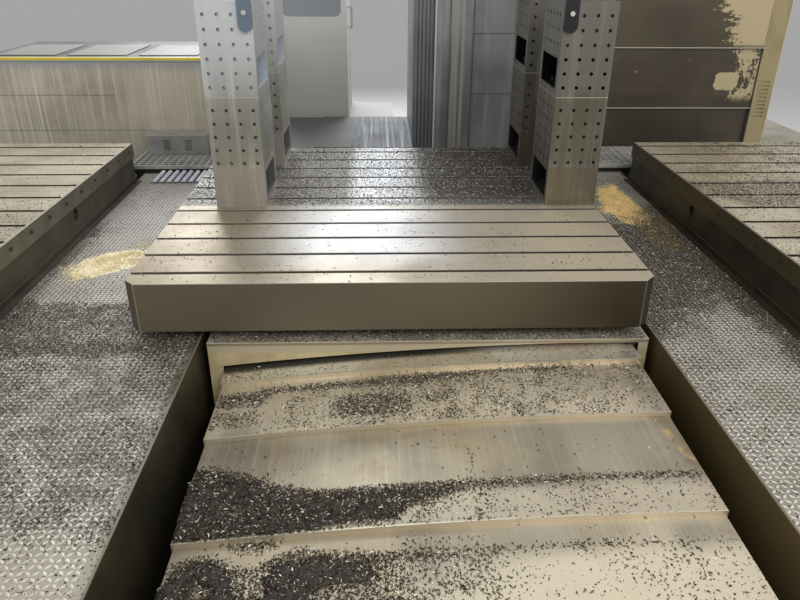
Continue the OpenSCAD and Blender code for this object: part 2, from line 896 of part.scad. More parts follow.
// Upper ring of the rotary bearing, with the pivot that turns in the saddle
module table_ring() {
    color("darkgray") {
        difference() {
            translate([0, 0, deck_z + ring_h])
                cylinder(r = ring_r, h = ring_h, $fn = 128);
            translate([0, 0, deck_z + ring_h - over])
                cylinder(r = ring_r - ring_wall, h = ring_h - 8 + over, $fn = 128);
        }
        translate([0, 0, deck_z - pivot_l])
            cylinder(r = pivot_r, h = pivot_l + ring_gap - over, $fn = 96);
    }
}

// Rows of bolts in the T-slots below a tower
function bolt_rows(y) = [
    for (i = [0:table_slots - 1])
        let (row = (i - (table_slots - 1) / 2) * table_pitch)
        if (abs(row - y - block_d / 2) < block_d / 2 - 65) row
];

// Columns and rows of tapped holes sunk into a face, along Z of the caller
module hole_field(cols, rows, top) {
    for (c = [0:cols - 1], r = [0:rows - 1])
        translate([(c - (cols - 1) / 2) * hole_pitch, top - row_margin - r * hole_pitch, -hole_depth])
            cylinder(d = hole_d, h = hole_depth + over, $fn = 20);
}

// Tower block with a pocket each side over its foot, holes in four faces and bolt holes in foot and top
module tower_block(x, y, z, h, rows, side_rows, has_top) {
    color("silver")
        difference() {
            block([x - block_w / 2, y, z], [x + block_w / 2, y + block_d, z + h]);
            for (x0 = [x - block_w / 2 - over, x + window_web / 2])
                translate([x0, y + window_wall, z + foot_t])
                    cube([(block_w - window_web) / 2 + over, block_d - 2 * window_wall, window_h]);
            for (face = [0, 1])
                translate([x, y + block_d / 2, z])
                    rotate([0, 0, 180 * face])
                        translate([0, -block_d / 2, 0])
                            rotate([90, 0, 0])
                                hole_field(front_cols, rows, h);
            for (face = [0, 1])
                translate([x, y + block_d / 2, z])
                    rotate([0, 0, 90 + 180 * face])
                        translate([0, -block_w / 2, 0])
                            rotate([90, 0, 0])
                                hole_field(side_cols, side_rows, h);
            for (row = bolt_rows(y), side = [-1, 1]) {
                translate([x + side * bolt_x, row, z - over])
                    cylinder(d = bolt_d + 2 * bolt_gap, h = foot_t + 2 * over);
                if (has_top)
                    translate([x + side * bolt_x, row, z + h - bolt_reach - 1])
                        cylinder(d = bolt_d + 2 * run_fit, h = bolt_reach + 1 + over);
            }
        }
}
module lower_block(x, k) {
    tower_block(x, tower_y[k], table_top_z, lower_h, lower_rows, lower_rows, true);
}
module upper_block(x, k) {
    tower_block(x, tower_y[k], table_top_z + lower_h, upper_h, upper_rows, upper_rows - 2, false);
}
module tower_front_left_lower() { lower_block(-tower_left, 0); }
module tower_front_left_upper() { upper_block(-tower_left, 0); }
module tower_front_right_lower() { lower_block(tower_right, 0); }
module tower_front_right_upper() { upper_block(tower_right, 0); }
module tower_rear_left_lower() { lower_block(-tower_left, 1); }
module tower_rear_left_upper() { upper_block(-tower_left, 1); }
module tower_rear_right_lower() { lower_block(tower_right, 1); }
module tower_rear_right_upper() { upper_block(tower_right, 1); }

// Foot bolts of the towers: the lower ones hold T-nuts, the upper ones reach into the lower block
module tower_bolts() {
    nut = slot_h - 2;
    color("black")
        for (x = [-tower_left, tower_right], y = tower_y, row = bolt_rows(y), side = [-1, 1])
            translate([x + side * bolt_x, row, 0]) {
                translate([0, 0, throat_z - nut])
                    cylinder(d = bolt_d, h = table_top_z + foot_t - throat_z + nut);
                translate([-30, -(slot_w - 6) / 2, throat_z - fit - nut])
                    cube([60, slot_w - 6, nut]);
                translate([0, 0, table_top_z + foot_t])
                    hex_head(head_af, head_t);
                translate([0, 0, table_top_z + lower_h - bolt_reach])
                    cylinder(d = bolt_d, h = bolt_reach + foot_t);
                translate([0, 0, table_top_z + lower_h + foot_t])
                    hex_head(head_af, head_t);
            }
}

// Stop brackets on the front towers' upper inner corners, round at the foot, each with its bolt
module stop_brackets() {
    w = 76;
    t = 26;
    z0 = table_top_z + lower_h + 345;
    h = 240;
    color("black")
        for (x = [-tower_left + block_w / 2 - w / 2, tower_right - block_w / 2 + w / 2])
            translate([x, tower_y[0], z0])
                rotate([90, 0, 0]) {
                    linear_extrude(t) {
                        translate([0, w / 2])
                            circle(d = w);
                        translate([-w / 2, w / 2])
                            square([w, h - w / 2]);
                    }
                    translate([0, 100, t])
                        hex_head(24, 14);
                }
}

// Column: two uprights joined by a foot and a head beam, with a deep post panel at the right
module column() {
    y1 = column_y0 + column_d;
    louvre_w = 76;
    louvre_x = column_x1 - (post_w + louvre_w) / 2;
    color("darkolivegreen")
        difference() {
            union() {
                block([column_x, column_y0, column_z0], [column_x1, y1, column_top]);
                block([column_x1 - post_w, cover_front, column_z0 + 60],
                    [column_x1, column_y0 + over, column_top]);
            }
            block([head_x, column_y0 - over, portal_z0],
                [head_x + portal_w, y1 + over, column_top - portal_top]);
            upright_core(column_x, upright_w);
            upright_core(column_x1 - right_upright_w, right_upright_w);
            for (i = [0:louvres - 1])
                translate([louvre_x, cover_front - over, louvre_z + i * louvre_pitch])
                    cube([louvre_w, 14, 16]);
        }
}

// Hollow of an upright, with round core holes in its rear face
module upright_core(x, w) {
    y1 = column_y0 + column_d;
    z0 = column_z0 + core_foot;
    z1 = column_top - portal_top;
    block([x + core_wall, column_y0 + core_wall, z0], [x + w - core_wall, y1 - core_wall, z1]);
    for (i = [0:core_holes - 1])
        translate([x + w / 2, y1 + over, z0 + (z1 - z0) * (i + 0.5) / core_holes])
            rotate([90, 0, 0])
                cylinder(d = core_hole_d, h = core_wall + 2 * over);
}

// Guide strips and narrow cover panels on the left upright
module column_strips() {
    z0 = column_z0 + 30;
    color("dimgray") {
        for (i = [0:4])
            translate([column_x + 14 + i * 34, column_y0 - 40, z0])
                cube([18, 40, column_h - 100]);
        block([column_x + 186, column_y0 - 90, z0], [column_x + 200, column_y0, column_top - 70]);
        block([column_x + 330, column_y0 - 60, z0], [column_x + 520, column_y0, column_top - 70]);
        for (i = [0:5])
            translate([column_x + 540, column_y0 - 30 - 6 * (i % 2), z0 + i * 520])
                cube([380, 30 + 6 * (i % 2), 516]);
    }
}

// Vertical telescopic cover below the headstock: one wide sheet with a folded lip at its foot
module head_cover(level, z0, z1) {
    y = cover_front + level * head_nest;
    x0 = head_x + head_gap * (1 + 2 * level);
    x1 = head_x + cover_span - head_gap * (1 + 2 * level);
    color("saddlebrown") {
        block([x0, y, z0], [x1, y + sheet_t, z1]);
        block([x0, y - 14, z0], [x1, y + over, z0 + 6]);
        for (x = [x0, x1 - sheet_t])
            block([x, y, z0], [x + sheet_t, level == 2 ? column_y0 : y + head_nest - fit, z1]);
    }
}
module head_cover_1() { head_cover(0, head_seams[1], head_z); }
module head_cover_2() { head_cover(1, head_seams[0], head_seams[1] + head_lap); }
module head_cover_3() { head_cover(2, head_foot, head_seams[0] + head_lap); }

// Headstock in the column's portal, with a square way for the ram
module headstock() {
    y0 = cover_front - 20;
    x0 = head_x + fit;
    x1 = head_x + portal_w - fit;
    color("gray")
        difference() {
            union() {
                block([x0, column_y0 - 10, head_z], [x1, y0 + head_l, head_z + head_h]);
                block([head_x + head_gap, y0, head_z],
                    [head_x + cover_span - head_gap, column_y0 - fit, head_z + head_h]);
            }
            block([spindle_x - ram_w / 2 - fit, y0 - over, spindle_z - ram_w / 2 - fit],
                [spindle_x + ram_w / 2 + fit, y0 + head_l + over, spindle_z + ram_w / 2 + fit]);
        }
}

// Ram with a bore for the spindle
module ram() {
    y0 = cover_front - 120;
    color("silver")
        difference() {
            block([spindle_x - ram_w / 2, y0, spindle_z - ram_w / 2],
                [spindle_x + ram_w / 2, y0 + ram_l, spindle_z + ram_w / 2]);
            translate([spindle_x, y0 + ram_l - 200, spindle_z])
                rotate([90, 0, 0])
                    cylinder(r = spindle_r + run_fit, h = ram_l);
        }
}

// Spindle with its flange and tool taper
module spindle() {
    y0 = cover_front - 120;
    color("silver")
        translate([spindle_x, y0 + ram_l - 220, spindle_z])
            rotate([90, 0, 0])
                difference() {
                    union() {
                        cylinder(r = spindle_r, h = ram_l - 220);
                        translate([0, 0, ram_l - 219])
                            cylinder(r = spindle_r + 30, h = 60);
                        translate([0, 0, ram_l - 221])
                            cylinder(r = spindle_r - 10, h = 4);
                    }
                    translate([0, 0, ram_l - 219 - 40])
                        cylinder(r1 = 22, r2 = 35, h = 100 + over);
                }
}

bed();
trough_walls();
deck_left();
deck_right();
side_base_left();
side_base_right();
side_plate_left();
side_plate_right();
plate_bands();
plate_bolts();
foot_rails();
gratings();
rear_step();
terminal_box();
left_guard();
guard_edge();
walkway();
cross_bed();
cross_cover_left_1();
cross_cover_left_2();
cross_cover_right_1();
cross_cover_right_2();
cab_shell();
cab_window();
cab_door();
saddle();
saddle_plate();
ball_nut();
rotary_bearing();
feed_screw();
screw_supports();
feed_motor();
front_cover_1();
front_cover_2();
front_cover_3();
front_cover_4();
front_cover_5();
rear_cover_1();
rear_cover_2();
rear_cover_3();
table_top();
table_ring();
tower_front_left_lower();
tower_front_left_upper();
tower_front_right_lower();
tower_front_right_upper();
tower_rear_left_lower();
tower_rear_left_upper();
tower_rear_right_lower();
tower_rear_right_upper();
tower_bolts();
stop_brackets();
column();
column_strips();
head_cover_1();
head_cover_2();
head_cover_3();
headstock();
ram();
spindle();
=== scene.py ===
import json
import math
import bpy
import bmesh
import numpy as np
from mathutils import Matrix, Vector, noise

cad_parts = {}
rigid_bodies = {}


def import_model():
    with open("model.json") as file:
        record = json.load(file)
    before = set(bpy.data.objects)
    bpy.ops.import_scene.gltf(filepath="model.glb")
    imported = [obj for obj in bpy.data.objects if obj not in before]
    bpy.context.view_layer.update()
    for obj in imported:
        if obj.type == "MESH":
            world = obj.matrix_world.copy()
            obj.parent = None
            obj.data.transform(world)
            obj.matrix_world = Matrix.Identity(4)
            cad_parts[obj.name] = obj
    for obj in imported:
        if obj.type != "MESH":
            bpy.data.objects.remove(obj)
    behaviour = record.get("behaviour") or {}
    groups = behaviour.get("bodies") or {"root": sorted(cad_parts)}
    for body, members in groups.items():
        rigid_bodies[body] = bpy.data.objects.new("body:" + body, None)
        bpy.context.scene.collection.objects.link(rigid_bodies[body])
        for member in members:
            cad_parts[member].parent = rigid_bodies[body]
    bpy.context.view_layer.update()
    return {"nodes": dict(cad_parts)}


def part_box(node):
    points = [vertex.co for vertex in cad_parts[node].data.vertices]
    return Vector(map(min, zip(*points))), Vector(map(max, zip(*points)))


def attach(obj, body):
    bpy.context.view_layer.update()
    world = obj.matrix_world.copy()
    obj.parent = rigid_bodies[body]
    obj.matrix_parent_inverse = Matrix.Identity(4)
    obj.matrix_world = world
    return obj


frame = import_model()
nodes = frame["nodes"]


def tint(red, green, blue):  # a colour as seen on screen, 0 to 255, turned linear
    def linear(v):
        v = v / 255
        return v / 12.92 if v <= 0.04045 else ((v + 0.055) / 1.055) ** 2.4
    return (linear(red), linear(green), linear(blue), 1.0)


def tones(base, shade, streak=None, **rest):  # the settings of one surface
    look = dict(rest, base=tint(*base), shade=tint(*shade))
    if streak:
        look["streak"] = tint(*streak)
    return look


def lighter(look, share):  # the same look with its tones brighter or darker by a share, as seen on screen
    made = dict(look)
    for key in ("base", "shade", "streak"):
        if key in look:
            made[key] = tuple(min(0.92, v * share ** 2.2) for v in look[key][:3]) + (1.0,)
    return made


def maths(tree, operation, first, second):  # a math node on sockets and numbers
    made = tree.nodes.new("ShaderNodeMath")
    made.operation = operation
    for k, value in enumerate((first, second)):
        if isinstance(value, (int, float)):
            made.inputs[k].default_value = value
        else:
            tree.links.new(value, made.inputs[k])
    return made.outputs[0]


class Wire:  # a shader socket that can be used in plain arithmetic
    def __init__(self, paint, socket):
        self.paint = paint
        self.socket = socket

    def math(self, operation, other=0.0, clamp=False):
        return self.paint.node("ShaderNodeMath", {0: self, 1: other}, operation=operation, use_clamp=clamp)

    def __add__(self, other):
        return self.math("ADD", other)

    def __sub__(self, other):
        return self.math("SUBTRACT", other)

    def __mul__(self, other):
        return self.math("MULTIPLY", other)

    def __rsub__(self, other):
        return self.paint.node("ShaderNodeMath", {0: other, 1: self}, operation="SUBTRACT")

    __radd__ = __add__
    __rmul__ = __mul__


class Paint:  # one material and its nodes
    def __init__(self, name):
        self.material = bpy.data.materials.new(name)
        self.material.use_nodes = True
        self.tree = self.material.node_tree
        self.tree.nodes.clear()
        self.place = self.node("ShaderNodeTexCoord", {}, output="Object")
        self.x = self.axis(0)
        self.y = self.axis(1)
        self.z = self.axis(2)

    def node(self, kind, values, output=0, stops=None, **settings):
        made = self.tree.nodes.new(kind)
        for key, value in settings.items():
            setattr(made, key, value)
        if stops:
            ramp = made.color_ramp
            for i, (at, color) in enumerate(stops):
                if i > 1:
                    ramp.elements.new(at)
                ramp.elements[i].position = at
                ramp.elements[i].color = color
        for key, value in values.items():
            if isinstance(value, Wire):
                self.tree.links.new(value.socket, made.inputs[key])
            else:
                made.inputs[key].default_value = value
        return Wire(self, made.outputs[output])

    def axis(self, index):
        return self.node("ShaderNodeSeparateXYZ", {0: self.place}, output=index)

    def stretched(self, scale):
        return self.node("ShaderNodeMapping", {"Vector": self.place, "Scale": scale})

    def noise(self, scale, detail=3.0, vector=None, roughness=0.55):
        return self.node("ShaderNodeTexNoise", {
            "Vector": vector or self.place, "Scale": scale, "Detail": detail, "Roughness": roughness})

    def mix(self, factor, first, second):
        return self.node("ShaderNodeMix", {0: factor, 6: first, 7: second}, output=2, data_type="RGBA")

    def face(self, index):  # how much the surface faces along an axis, with its sign
        normal = self.node("ShaderNodeNewGeometry", {}, output="True Normal")
        return self.node("ShaderNodeSeparateXYZ", {0: normal}, output=index)

    def finish(self, color, roughness, metallic, height=None, depth=0.001, strength=0.6):
        values = {"Base Color": color, "Roughness": roughness, "Metallic": metallic}
        if height is not None:
            values["Normal"] = self.node(
                "ShaderNodeBump", {"Height": height, "Distance": depth, "Strength": strength})
        shader = self.node("ShaderNodeBsdfPrincipled", values)
        self.link(shader)
        return self.material

    def link(self, shader):
        end = self.tree.nodes.new("ShaderNodeOutputMaterial")
        self.tree.links.new(shader.socket, end.inputs["Surface"])


def ramp(value, low, high):  # smooth step from 0 at low to 1 at high, on wires and on arrays
    if isinstance(value, Wire):
        return value.paint.node("ShaderNodeMapRange", {
            "Value": value, "From Min": low, "From Max": high}, interpolation_type="SMOOTHSTEP")
    t = np.clip((value - low) / (high - low), 0, 1)
    return t * t * (3 - 2 * t)


def follow(value, points):  # a line through the points, each with a place and a height
    if isinstance(value, Wire):
        height = points[0][1]
        for (x0, y0), (x1, y1) in zip(points, points[1:]):
            height = height + value.paint.node("ShaderNodeMapRange", {
                "Value": value, "From Min": x0, "From Max": x1, "To Min": 0.0, "To Max": y1 - y0})
        return height
    return np.interp(value, [p[0] for p in points], [p[1] for p in points])


def band(value, low, high, soft):
    return ramp(value, low - soft, low + soft) * (1 - ramp(value, high - soft, high + soft))


print("stage and lights")
photoView = {"eye": (-0.0668, -4.2189, 2.7810), "down": 26.38, "turn": 1.96, "roll": -0.37, "lens": 31.64}


def makeCamera(look):
    down = math.radians(look["down"])
    turn = math.radians(look["turn"])
    roll = math.radians(look["roll"])
    ahead = Vector((math.sin(turn) * math.cos(down), math.cos(turn) * math.cos(down), -math.sin(down)))
    level = Vector((math.cos(turn), -math.sin(turn), 0))
    above = level.cross(ahead)
    right = level * math.cos(roll) - above * math.sin(roll)
    up = right.cross(ahead)
    data = bpy.data.cameras.new("photoCamera")
    data.lens = look["lens"]
    data.sensor_width = 36
    camera = bpy.data.objects.new("photoCamera", data)
    bpy.context.scene.collection.objects.link(camera)
    turned = Matrix((right, up, -ahead)).transposed().to_4x4()
    camera.matrix_world = Matrix.Translation(look["eye"]) @ turned
    bpy.context.scene.camera = camera


def makeLamp(name, place, target, size, power, color):
    data = bpy.data.lights.new(name, "AREA")
    data.shape = "RECTANGLE"
    data.size, data.size_y = size
    data.energy = power
    data.color = color
    lamp = bpy.data.objects.new(name, data)
    bpy.context.scene.collection.objects.link(lamp)
    lamp.location = place
    lamp.rotation_euler = (Vector(target) - Vector(place)).to_track_quat("-Z", "Y").to_euler()


def makeWorld(shown, lit):
    world = bpy.data.worlds.new("studio")
    bpy.context.scene.world = world
    world.use_nodes = True
    tree = world.node_tree
    tree.nodes.clear()
    rays = tree.nodes.new("ShaderNodeLightPath").outputs
    through = maths(tree, "MAXIMUM", rays["Is Camera Ray"], rays["Is Transmission Ray"])
    seen = maths(tree, "MAXIMUM", through, rays["Is Glossy Ray"])
    choice = tree.nodes.new("ShaderNodeMix")
    choice.data_type = "RGBA"
    tree.links.new(seen, choice.inputs[0])
    choice.inputs[6].default_value = lit
    choice.inputs[7].default_value = shown
    back = tree.nodes.new("ShaderNodeBackground")
    tree.links.new(choice.outputs[2], back.inputs["Color"])
    end = tree.nodes.new("ShaderNodeOutputWorld")
    tree.links.new(back.outputs[0], end.inputs[0])


def makeFloor(reach):
    data = bpy.data.meshes.new("studioFloor")
    data.from_pydata([(-reach, -reach, -0.001), (reach, -reach, -0.001), (reach, reach, -0.001),
                      (-reach, reach, -0.001)], [], [(0, 1, 2, 3)])
    floor = bpy.data.objects.new("studioFloor", data)
    bpy.context.scene.collection.objects.link(floor)
    paint = Paint("studioFloor")
    floor.data.materials.append(paint.finish((0.62, 0.62, 0.61, 1), 0.8, 0.0))


bpy.context.scene.view_settings.view_transform = "Standard"
makeCamera(photoView)
makeWorld((0.88, 0.885, 0.89, 1), (0.52, 0.52, 0.515, 1))
makeFloor(60)
makeLamp("rearWindow", (-0.7, 9.0, 6.2), (0, -0.5, 1.2), (7.0, 4.0), 720, (0.97, 0.985, 1.0))
makeLamp("frontSoft", (2.5, -7.0, 6.5), (0, -0.5, 1.0), (6.0, 4.0), 300, (1.0, 0.97, 0.92))


print("where the chips lie")
coverLips = [-1.381, -1.789, -2.358, -2.900, -3.270]
coverBow = {"radius": 18.8, "crownX": 1.237, "crownZ": 1.052, "step": 0.020}


def coverTop(level, x):
    reach = x - coverBow["crownX"]
    drop = coverBow["radius"] - np.sqrt(coverBow["radius"] ** 2 - reach ** 2)
    return coverBow["crownZ"] - level * coverBow["step"] - drop


def tableChips(x, y):
    rear = ramp(y, -0.16, -0.11)
    pile = band(x, 0.28, 1.0, 0.12) * ramp(y, -0.1, 0.2)
    return 0.05 + rear * (0.86 + 0.6 * pile)


def ledgeChips(x, y):
    return 0.95 + 0 * x


def leftDeckChips(x, y):
    heavy = 0.8 * band(y, -1.35, -0.8, 0.05)
    patches = 0.66 * band(y + 0.15 * (x + 1.2), -2.5, -1.32, 0.08)
    edge = 0.7 * (1 - ramp(x, -1.95, -1.84)) * (1 - ramp(y, 0.3, 0.8))
    return 0.13 + heavy + patches + edge


def rightDeckChips(x, y):
    heavy = 0.75 * band(y + 0.9 * (1.5 - x), -1.15, 0.3, 0.35)
    edge = 0.7 * ramp(x, 1.78, 1.92) * band(y, -2.4, 0.1, 0.3)
    return 0.38 + heavy + edge


heapShapes = {"left": (-1.66, -0.26, 0.23, 0.26, 0.5), "right": (1.75, 0.78, 0.16, 0.52, 0.06)}


def heapShare(x, y, side):
    middleX, middleY, wideX, wideY, slope = heapShapes[side]
    dx = (x - middleX - slope * (y - middleY)) * (1 / wideX)
    dy = (y - middleY) * (1 / wideY)
    return 1 - ramp(dx * dx + dy * dy, 0.1, 1.2)


def leftPlateChips(x, y):
    return 0.12 + 0.25 * ramp(x, -2.6, -2.1) * band(y, -1.2, 0.1, 0.2)


def rightPlateChips(x, y):
    heavy = 0.85 * band(y, -0.22, 0.33, 0.05) * ramp(x + 0.5 * y, 2.0, 2.2)
    far = 0.45 * ramp(y, 0.6, 0.9) * ramp(x, 2.3, 2.7)
    return 0.24 + heavy + far + 0.25 * band(y, 0.3, 0.7, 0.1)


def firstCoverChips(x, y):
    return 0.24 + 0.15 * (1 - ramp(x, -0.6, -0.2))


pileEdges = {
    "secondFoot": ((-0.6, -1.56), (-0.56, -1.475), (0.1, -1.47), (0.5, -1.43)),
    "thirdTop": ((-0.78, -1.95), (-0.58, -2.027), (-0.48, -2.095), (-0.37, -2.134), (-0.29, -2.147),
                 (1.2, -2.147)),
    "thirdFoot": ((-0.4, -2.37), (-0.21, -2.32), (-0.01, -2.31), (0.03, -2.257), (0.16, -2.205),
                  (0.27, -2.184), (1.2, -2.172)),
    "spillFoot": ((-0.63, -2.35), (-0.58, -2.4), (-0.48, -2.412), (-0.43, -2.4), (-0.38, -2.34)),
    "fourthTop": ((-0.82, -2.44), (-0.73, -2.411), (-0.64, -2.422), (-0.56, -2.481), (-0.51, -2.478),
                  (-0.47, -2.47), (-0.43, -2.44), (-0.38, -2.414), (-0.31, -2.417), (-0.24, -2.44),
                  (0.14, -2.461), (1.2, -2.465)),
    "fourthWidth": ((-0.1, 0.07), (0.14, 0.034), (0.55, 0.018), (1.2, 0.014))}


def secondCoverChips(x, y):
    high = y + 0.04 * (0.1 - x)
    foot = follow(x, pileEdges["secondFoot"])
    line = 1.2 * (1 - ramp(high, -1.43, -1.415)) * ramp(y, foot - 0.02, foot + 0.004)
    line = line * (1 - 0.75 * ramp(x, 0.7, 1.0))
    cluster = 0.8 * band(x, -0.26, 0.06, 0.07) * band(y, -1.71, -1.56, 0.03)
    cluster = cluster + 0.8 * band(x, -0.86, -0.62, 0.04) * band(y, -1.72, -1.62, 0.02)
    scatter = 0.5 * (1 - 0.6 * ramp(x, 0.75, 1.1)) * (1 - ramp(y, -1.47, -1.42))
    scatter = scatter * ramp(x - 0.6 * (y + 1.7), -0.6, -0.45)
    return 0.05 + line + cluster + scatter


def thirdCoverChips(x, y):
    top = follow(x, pileEdges["thirdTop"])
    foot = follow(x, pileEdges["thirdFoot"])
    pile = 1.15 * (1 - ramp(y, top - 0.012, top + 0.008)) * ramp(y, foot - 0.012, foot + 0.01)
    below = 0.2 * (1 - ramp(y, -2.2, -2.18)) * ramp(x, -0.05, 0.1)
    return 0.012 + pile + below


def fourthCoverChips(x, y):
    edge = follow(x, pileEdges["spillFoot"])
    spill = 1.15 * ramp(y, edge - 0.01, edge + 0.01) * (1 - ramp(x, -0.4, -0.36))
    top = follow(x, pileEdges["fourthTop"])
    wide = follow(x, pileEdges["fourthWidth"])
    under = 1 - ramp(y, top - 0.01, top + 0.006)
    line = 1.1 * under * ramp(y, top - wide - 0.008, top - wide + 0.006)
    pile = 0.8 * (1 - ramp(x, -0.2, 0.12))
    loose = 0.14 + 0.24 * (1 - ramp(x, 0.1, 0.6))
    return 0.02 + spill + line + under * (pile + loose) * ramp(top - wide - y, -0.02, 0.02)


def fifthCoverChips(x, y):
    return 0.2 + 0.5 * (1 - ramp(x, -0.5, 0.2))


print("materials")
# pale is the colour of painted glints on chips
chipTone = {"dark": tint(46, 40, 33), "pale": tint(236, 230, 216)}


def flecks(paint, amount, size, seed):  # scattered flakes whose share of the surface follows amount
    moved = paint.node("ShaderNodeMapping", {"Vector": paint.place, "Location": (seed, seed * 0.7, 0)})
    wobble = {"Vector": paint.place, "Scale": 1.1 / size, "Detail": 1.0}
    sway = paint.node("ShaderNodeTexNoise", wobble, output="Color")
    swayed = paint.node("ShaderNodeVectorMath", {0: sway, 3: size * 0.9}, operation="SCALE")
    bent = paint.node("ShaderNodeVectorMath", {0: moved, 1: swayed}, operation="ADD")
    cell = {"Vector": bent, "Scale": 1 / size, "Randomness": 1.0}
    near = paint.node("ShaderNodeTexVoronoi", cell, output="Distance")
    chance = paint.node("ShaderNodeSeparateColor", {
        0: paint.node("ShaderNodeTexVoronoi", cell, output="Color")}, output=0)
    inside = 1 - ramp(near, 0.3, 0.46)
    kept = paint.node("ShaderNodeMath", {0: chance, 1: amount}, operation="LESS_THAN")
    return inside * kept


def upward(paint):
    return ramp(paint.face(2), 0.5, 0.8)


def upright(paint):  # sides and undersides
    return 1 - ramp(paint.face(2), 0.3, 0.6)


def surface(name, look, chips=None, patches=()):  # steel or paint with streaks, grit, patches and flat chips
    paint = Paint(name)
    blotch = paint.noise(look.get("mottle", 3.0), 5.0)
    color = paint.mix(ramp(blotch, 0.35, 0.68), look["base"], look["shade"])
    streak = paint.noise(1.0, 4.0, paint.stretched(look.get("grain", (60, 60, 1.5))), 0.6)
    streakTone = look.get("streak", look["shade"])
    color = paint.mix(ramp(streak, 0.45, 0.75) * look.get("streaks", 0.3), color, streakTone)
    rough = look["rough"] + (blotch - 0.5) * look.get("roughSpread", 0.25)
    metal = look["metal"]
    height = streak * look.get("grainDepth", 0.15) + paint.noise(look.get("fine", 220), 2.0) * 0.15
    for tone, where in patches:
        mask = where(paint)
        color = paint.mix(mask, color, tone)
    grit = paint.noise(look.get("grit", 480), 1.0)
    gritTone = look.get("gritTone", look["shade"])
    color = paint.mix(ramp(grit, 0.6, 0.72) * look.get("gritShare", 0.25), color, gritTone)
    if chips:
        patchy = paint.noise(7.0, 3.0)
        amount = chips(paint.x, paint.y) * (patchy * 1.8 - 0.25) * upward(paint)
        for i, size in enumerate(look.get("flecks", (0.010, 0.006))):
            flake = flecks(paint, amount * look.get("fleckShare", 0.7), size, 3.1 + i)
            color = paint.mix(flake * 0.95, color, chipTone["dark"])
            height = height + flake * 0.8
        glint = flecks(paint, amount * look.get("glints", 0.06), 0.006, 9.3)
        color = paint.mix(glint, color, chipTone["pale"])
    return paint.finish(color, rough, metal, height, look.get("depth", 0.0012), look.get("bump", 0.5))


def behind(paint):  # faces that look to the back
    return ramp(paint.face(1), 0.1, 0.5)


def outward(paint):  # faces that look to the left, away from the table
    return ramp(0 - paint.face(0), 0.3, 0.6)


def dress(names, material):
    for name in names:
        item = nodes[name]
        item.data.materials.clear()
        item.data.materials.append(material)


steelTop = tones((178, 168, 150), (152, 140, 120), streak=(200, 193, 180), mottle=2.2, grain=(1.2, 90, 90),
                 streaks=0.4, rough=0.46, metal=0.5, grainDepth=0.1, gritShare=0.3,
                 gritTone=tint(104, 90, 74), roughSpread=0.3)
apronTone = tint(112, 104, 88)


def darkRearRight(paint):  # dark bluish patch under the chips at the rear right of the table
    ragged = paint.noise(4.0, 4.0) * 0.5
    return band(paint.x + ragged * 0.5, 0.35, 1.35, 0.2) * ramp(paint.y, -0.12, 0.15) * upward(paint)


def rearHalf(paint):
    return ramp(paint.y, -0.16, -0.12) * upward(paint)


def edgeGlow(paint):
    return band(paint.z, 1.3965, 1.4005, 0.0006) * upright(paint)


def frontLight(paint):  # the brighter front half of the table's top
    return 1 - ramp(paint.y, -0.3, -0.1)


# painted highlight along the apron's corner chamfers
def apronCornerHighlight(paint):
    return band(paint.x, 1.199, 1.206, 0.001) * 0.4 + band(paint.x, -1.206, -1.199, 0.001) * 0.9


dress(["table_top"], surface("tableSteel", steelTop, tableChips, (
    (tint(104, 107, 100), lambda p: rearHalf(p) * 0.8),
    (tint(150, 134, 106), lambda p: (1 - ramp(p.x, -0.9, -0.4)) * (1 - ramp(p.y, -0.5, -0.1))
     * upward(p) * 0.45),
    (tint(214, 202, 178), lambda p: ramp(p.x, 0.2, 1.0) * frontLight(p) * upward(p) * 0.7),
    # painted reflection: pale bluish patch in the middle of the top
    (tint(206, 212, 222), lambda p: band(p.x, -0.62, 0.3, 0.25) * band(p.y, -1.0, -0.15, 0.15)
     * upward(p) * 0.5),
    # painted reflection: pale bluish patch at the back of the middle
    (tint(222, 226, 232), lambda p: band(p.x, -0.24, 0.22, 0.05) * ramp(p.y, -0.15, 0.0) * upward(p) * 0.75),
    (tint(46, 48, 54), lambda p: darkRearRight(p) * 0.85),
    (apronTone, upright),
    # painted shade: the apron's sides darker towards the bottom and the right
    (tint(56, 48, 33), lambda p: upright(p) * ramp(p.x - p.z * 1.2, -1.7, -0.3) * 0.95),
    # painted highlight on the apron's corner chamfers
    (tint(196, 178, 156), lambda p: upright(p) * apronCornerHighlight(p)),
    (tint(206, 204, 196), edgeGlow))))

plateLook = dict(steelTop, base=tint(172, 162, 142), shade=tint(142, 130, 108), metal=0.45, rough=0.48)
# the two plates are lit copies of one look, each brightened by its own share: painted light
for side, chips, share in (("left", leftPlateChips, 1.12), ("right", rightPlateChips, 1.25)):
    dress(["side_plate_" + side], surface(side + "PlateSteel", lighter(plateLook, share), chips, (
        (tint(208, 196, 168), lambda p: ramp(p.noise(2.2, 4, p.stretched((0.6, 1.6, 1))), 0.56, 0.68)
         * ramp(p.x, 2, 2.1) * 0.7),
        (tint(60, 55, 45), upright))))

coverLook = tones((160, 151, 132), (128, 119, 102), streak=(182, 173, 154), mottle=2.4, grain=(90, 0.8, 12),
                  streaks=0.42, rough=0.4, metal=0.6, grainDepth=0.08, gritShare=0.2,
                  gritTone=tint(104, 90, 70), roughSpread=0.25, fleckShare=0.5)


def seam(paint):
    return band(paint.x, 0.1035, 0.1065, 0.0006)


# painted highlight along the top edge of each cover's lip
def lipHighlight(y):
    def where(paint):
        return band(paint.y, y - 0.0005, y + 0.006, 0.0012) * ramp(paint.face(2), 0.4, 0.8)
    return where


def goldArc(paint):  # curved golden stain at the right end of the third cover
    side = paint.x - follow(paint.y, ((-2.085, 1.166), (-2.03, 1.13), (-1.95, 1.118), (-1.886, 1.11)))
    ragged = ramp(paint.noise(26, 4, paint.stretched((1, 0.4, 1))), 0.4, 0.6)
    return band(side, -0.008, 0.022, 0.01) * band(paint.y, -2.08, -1.88, 0.02) * ragged


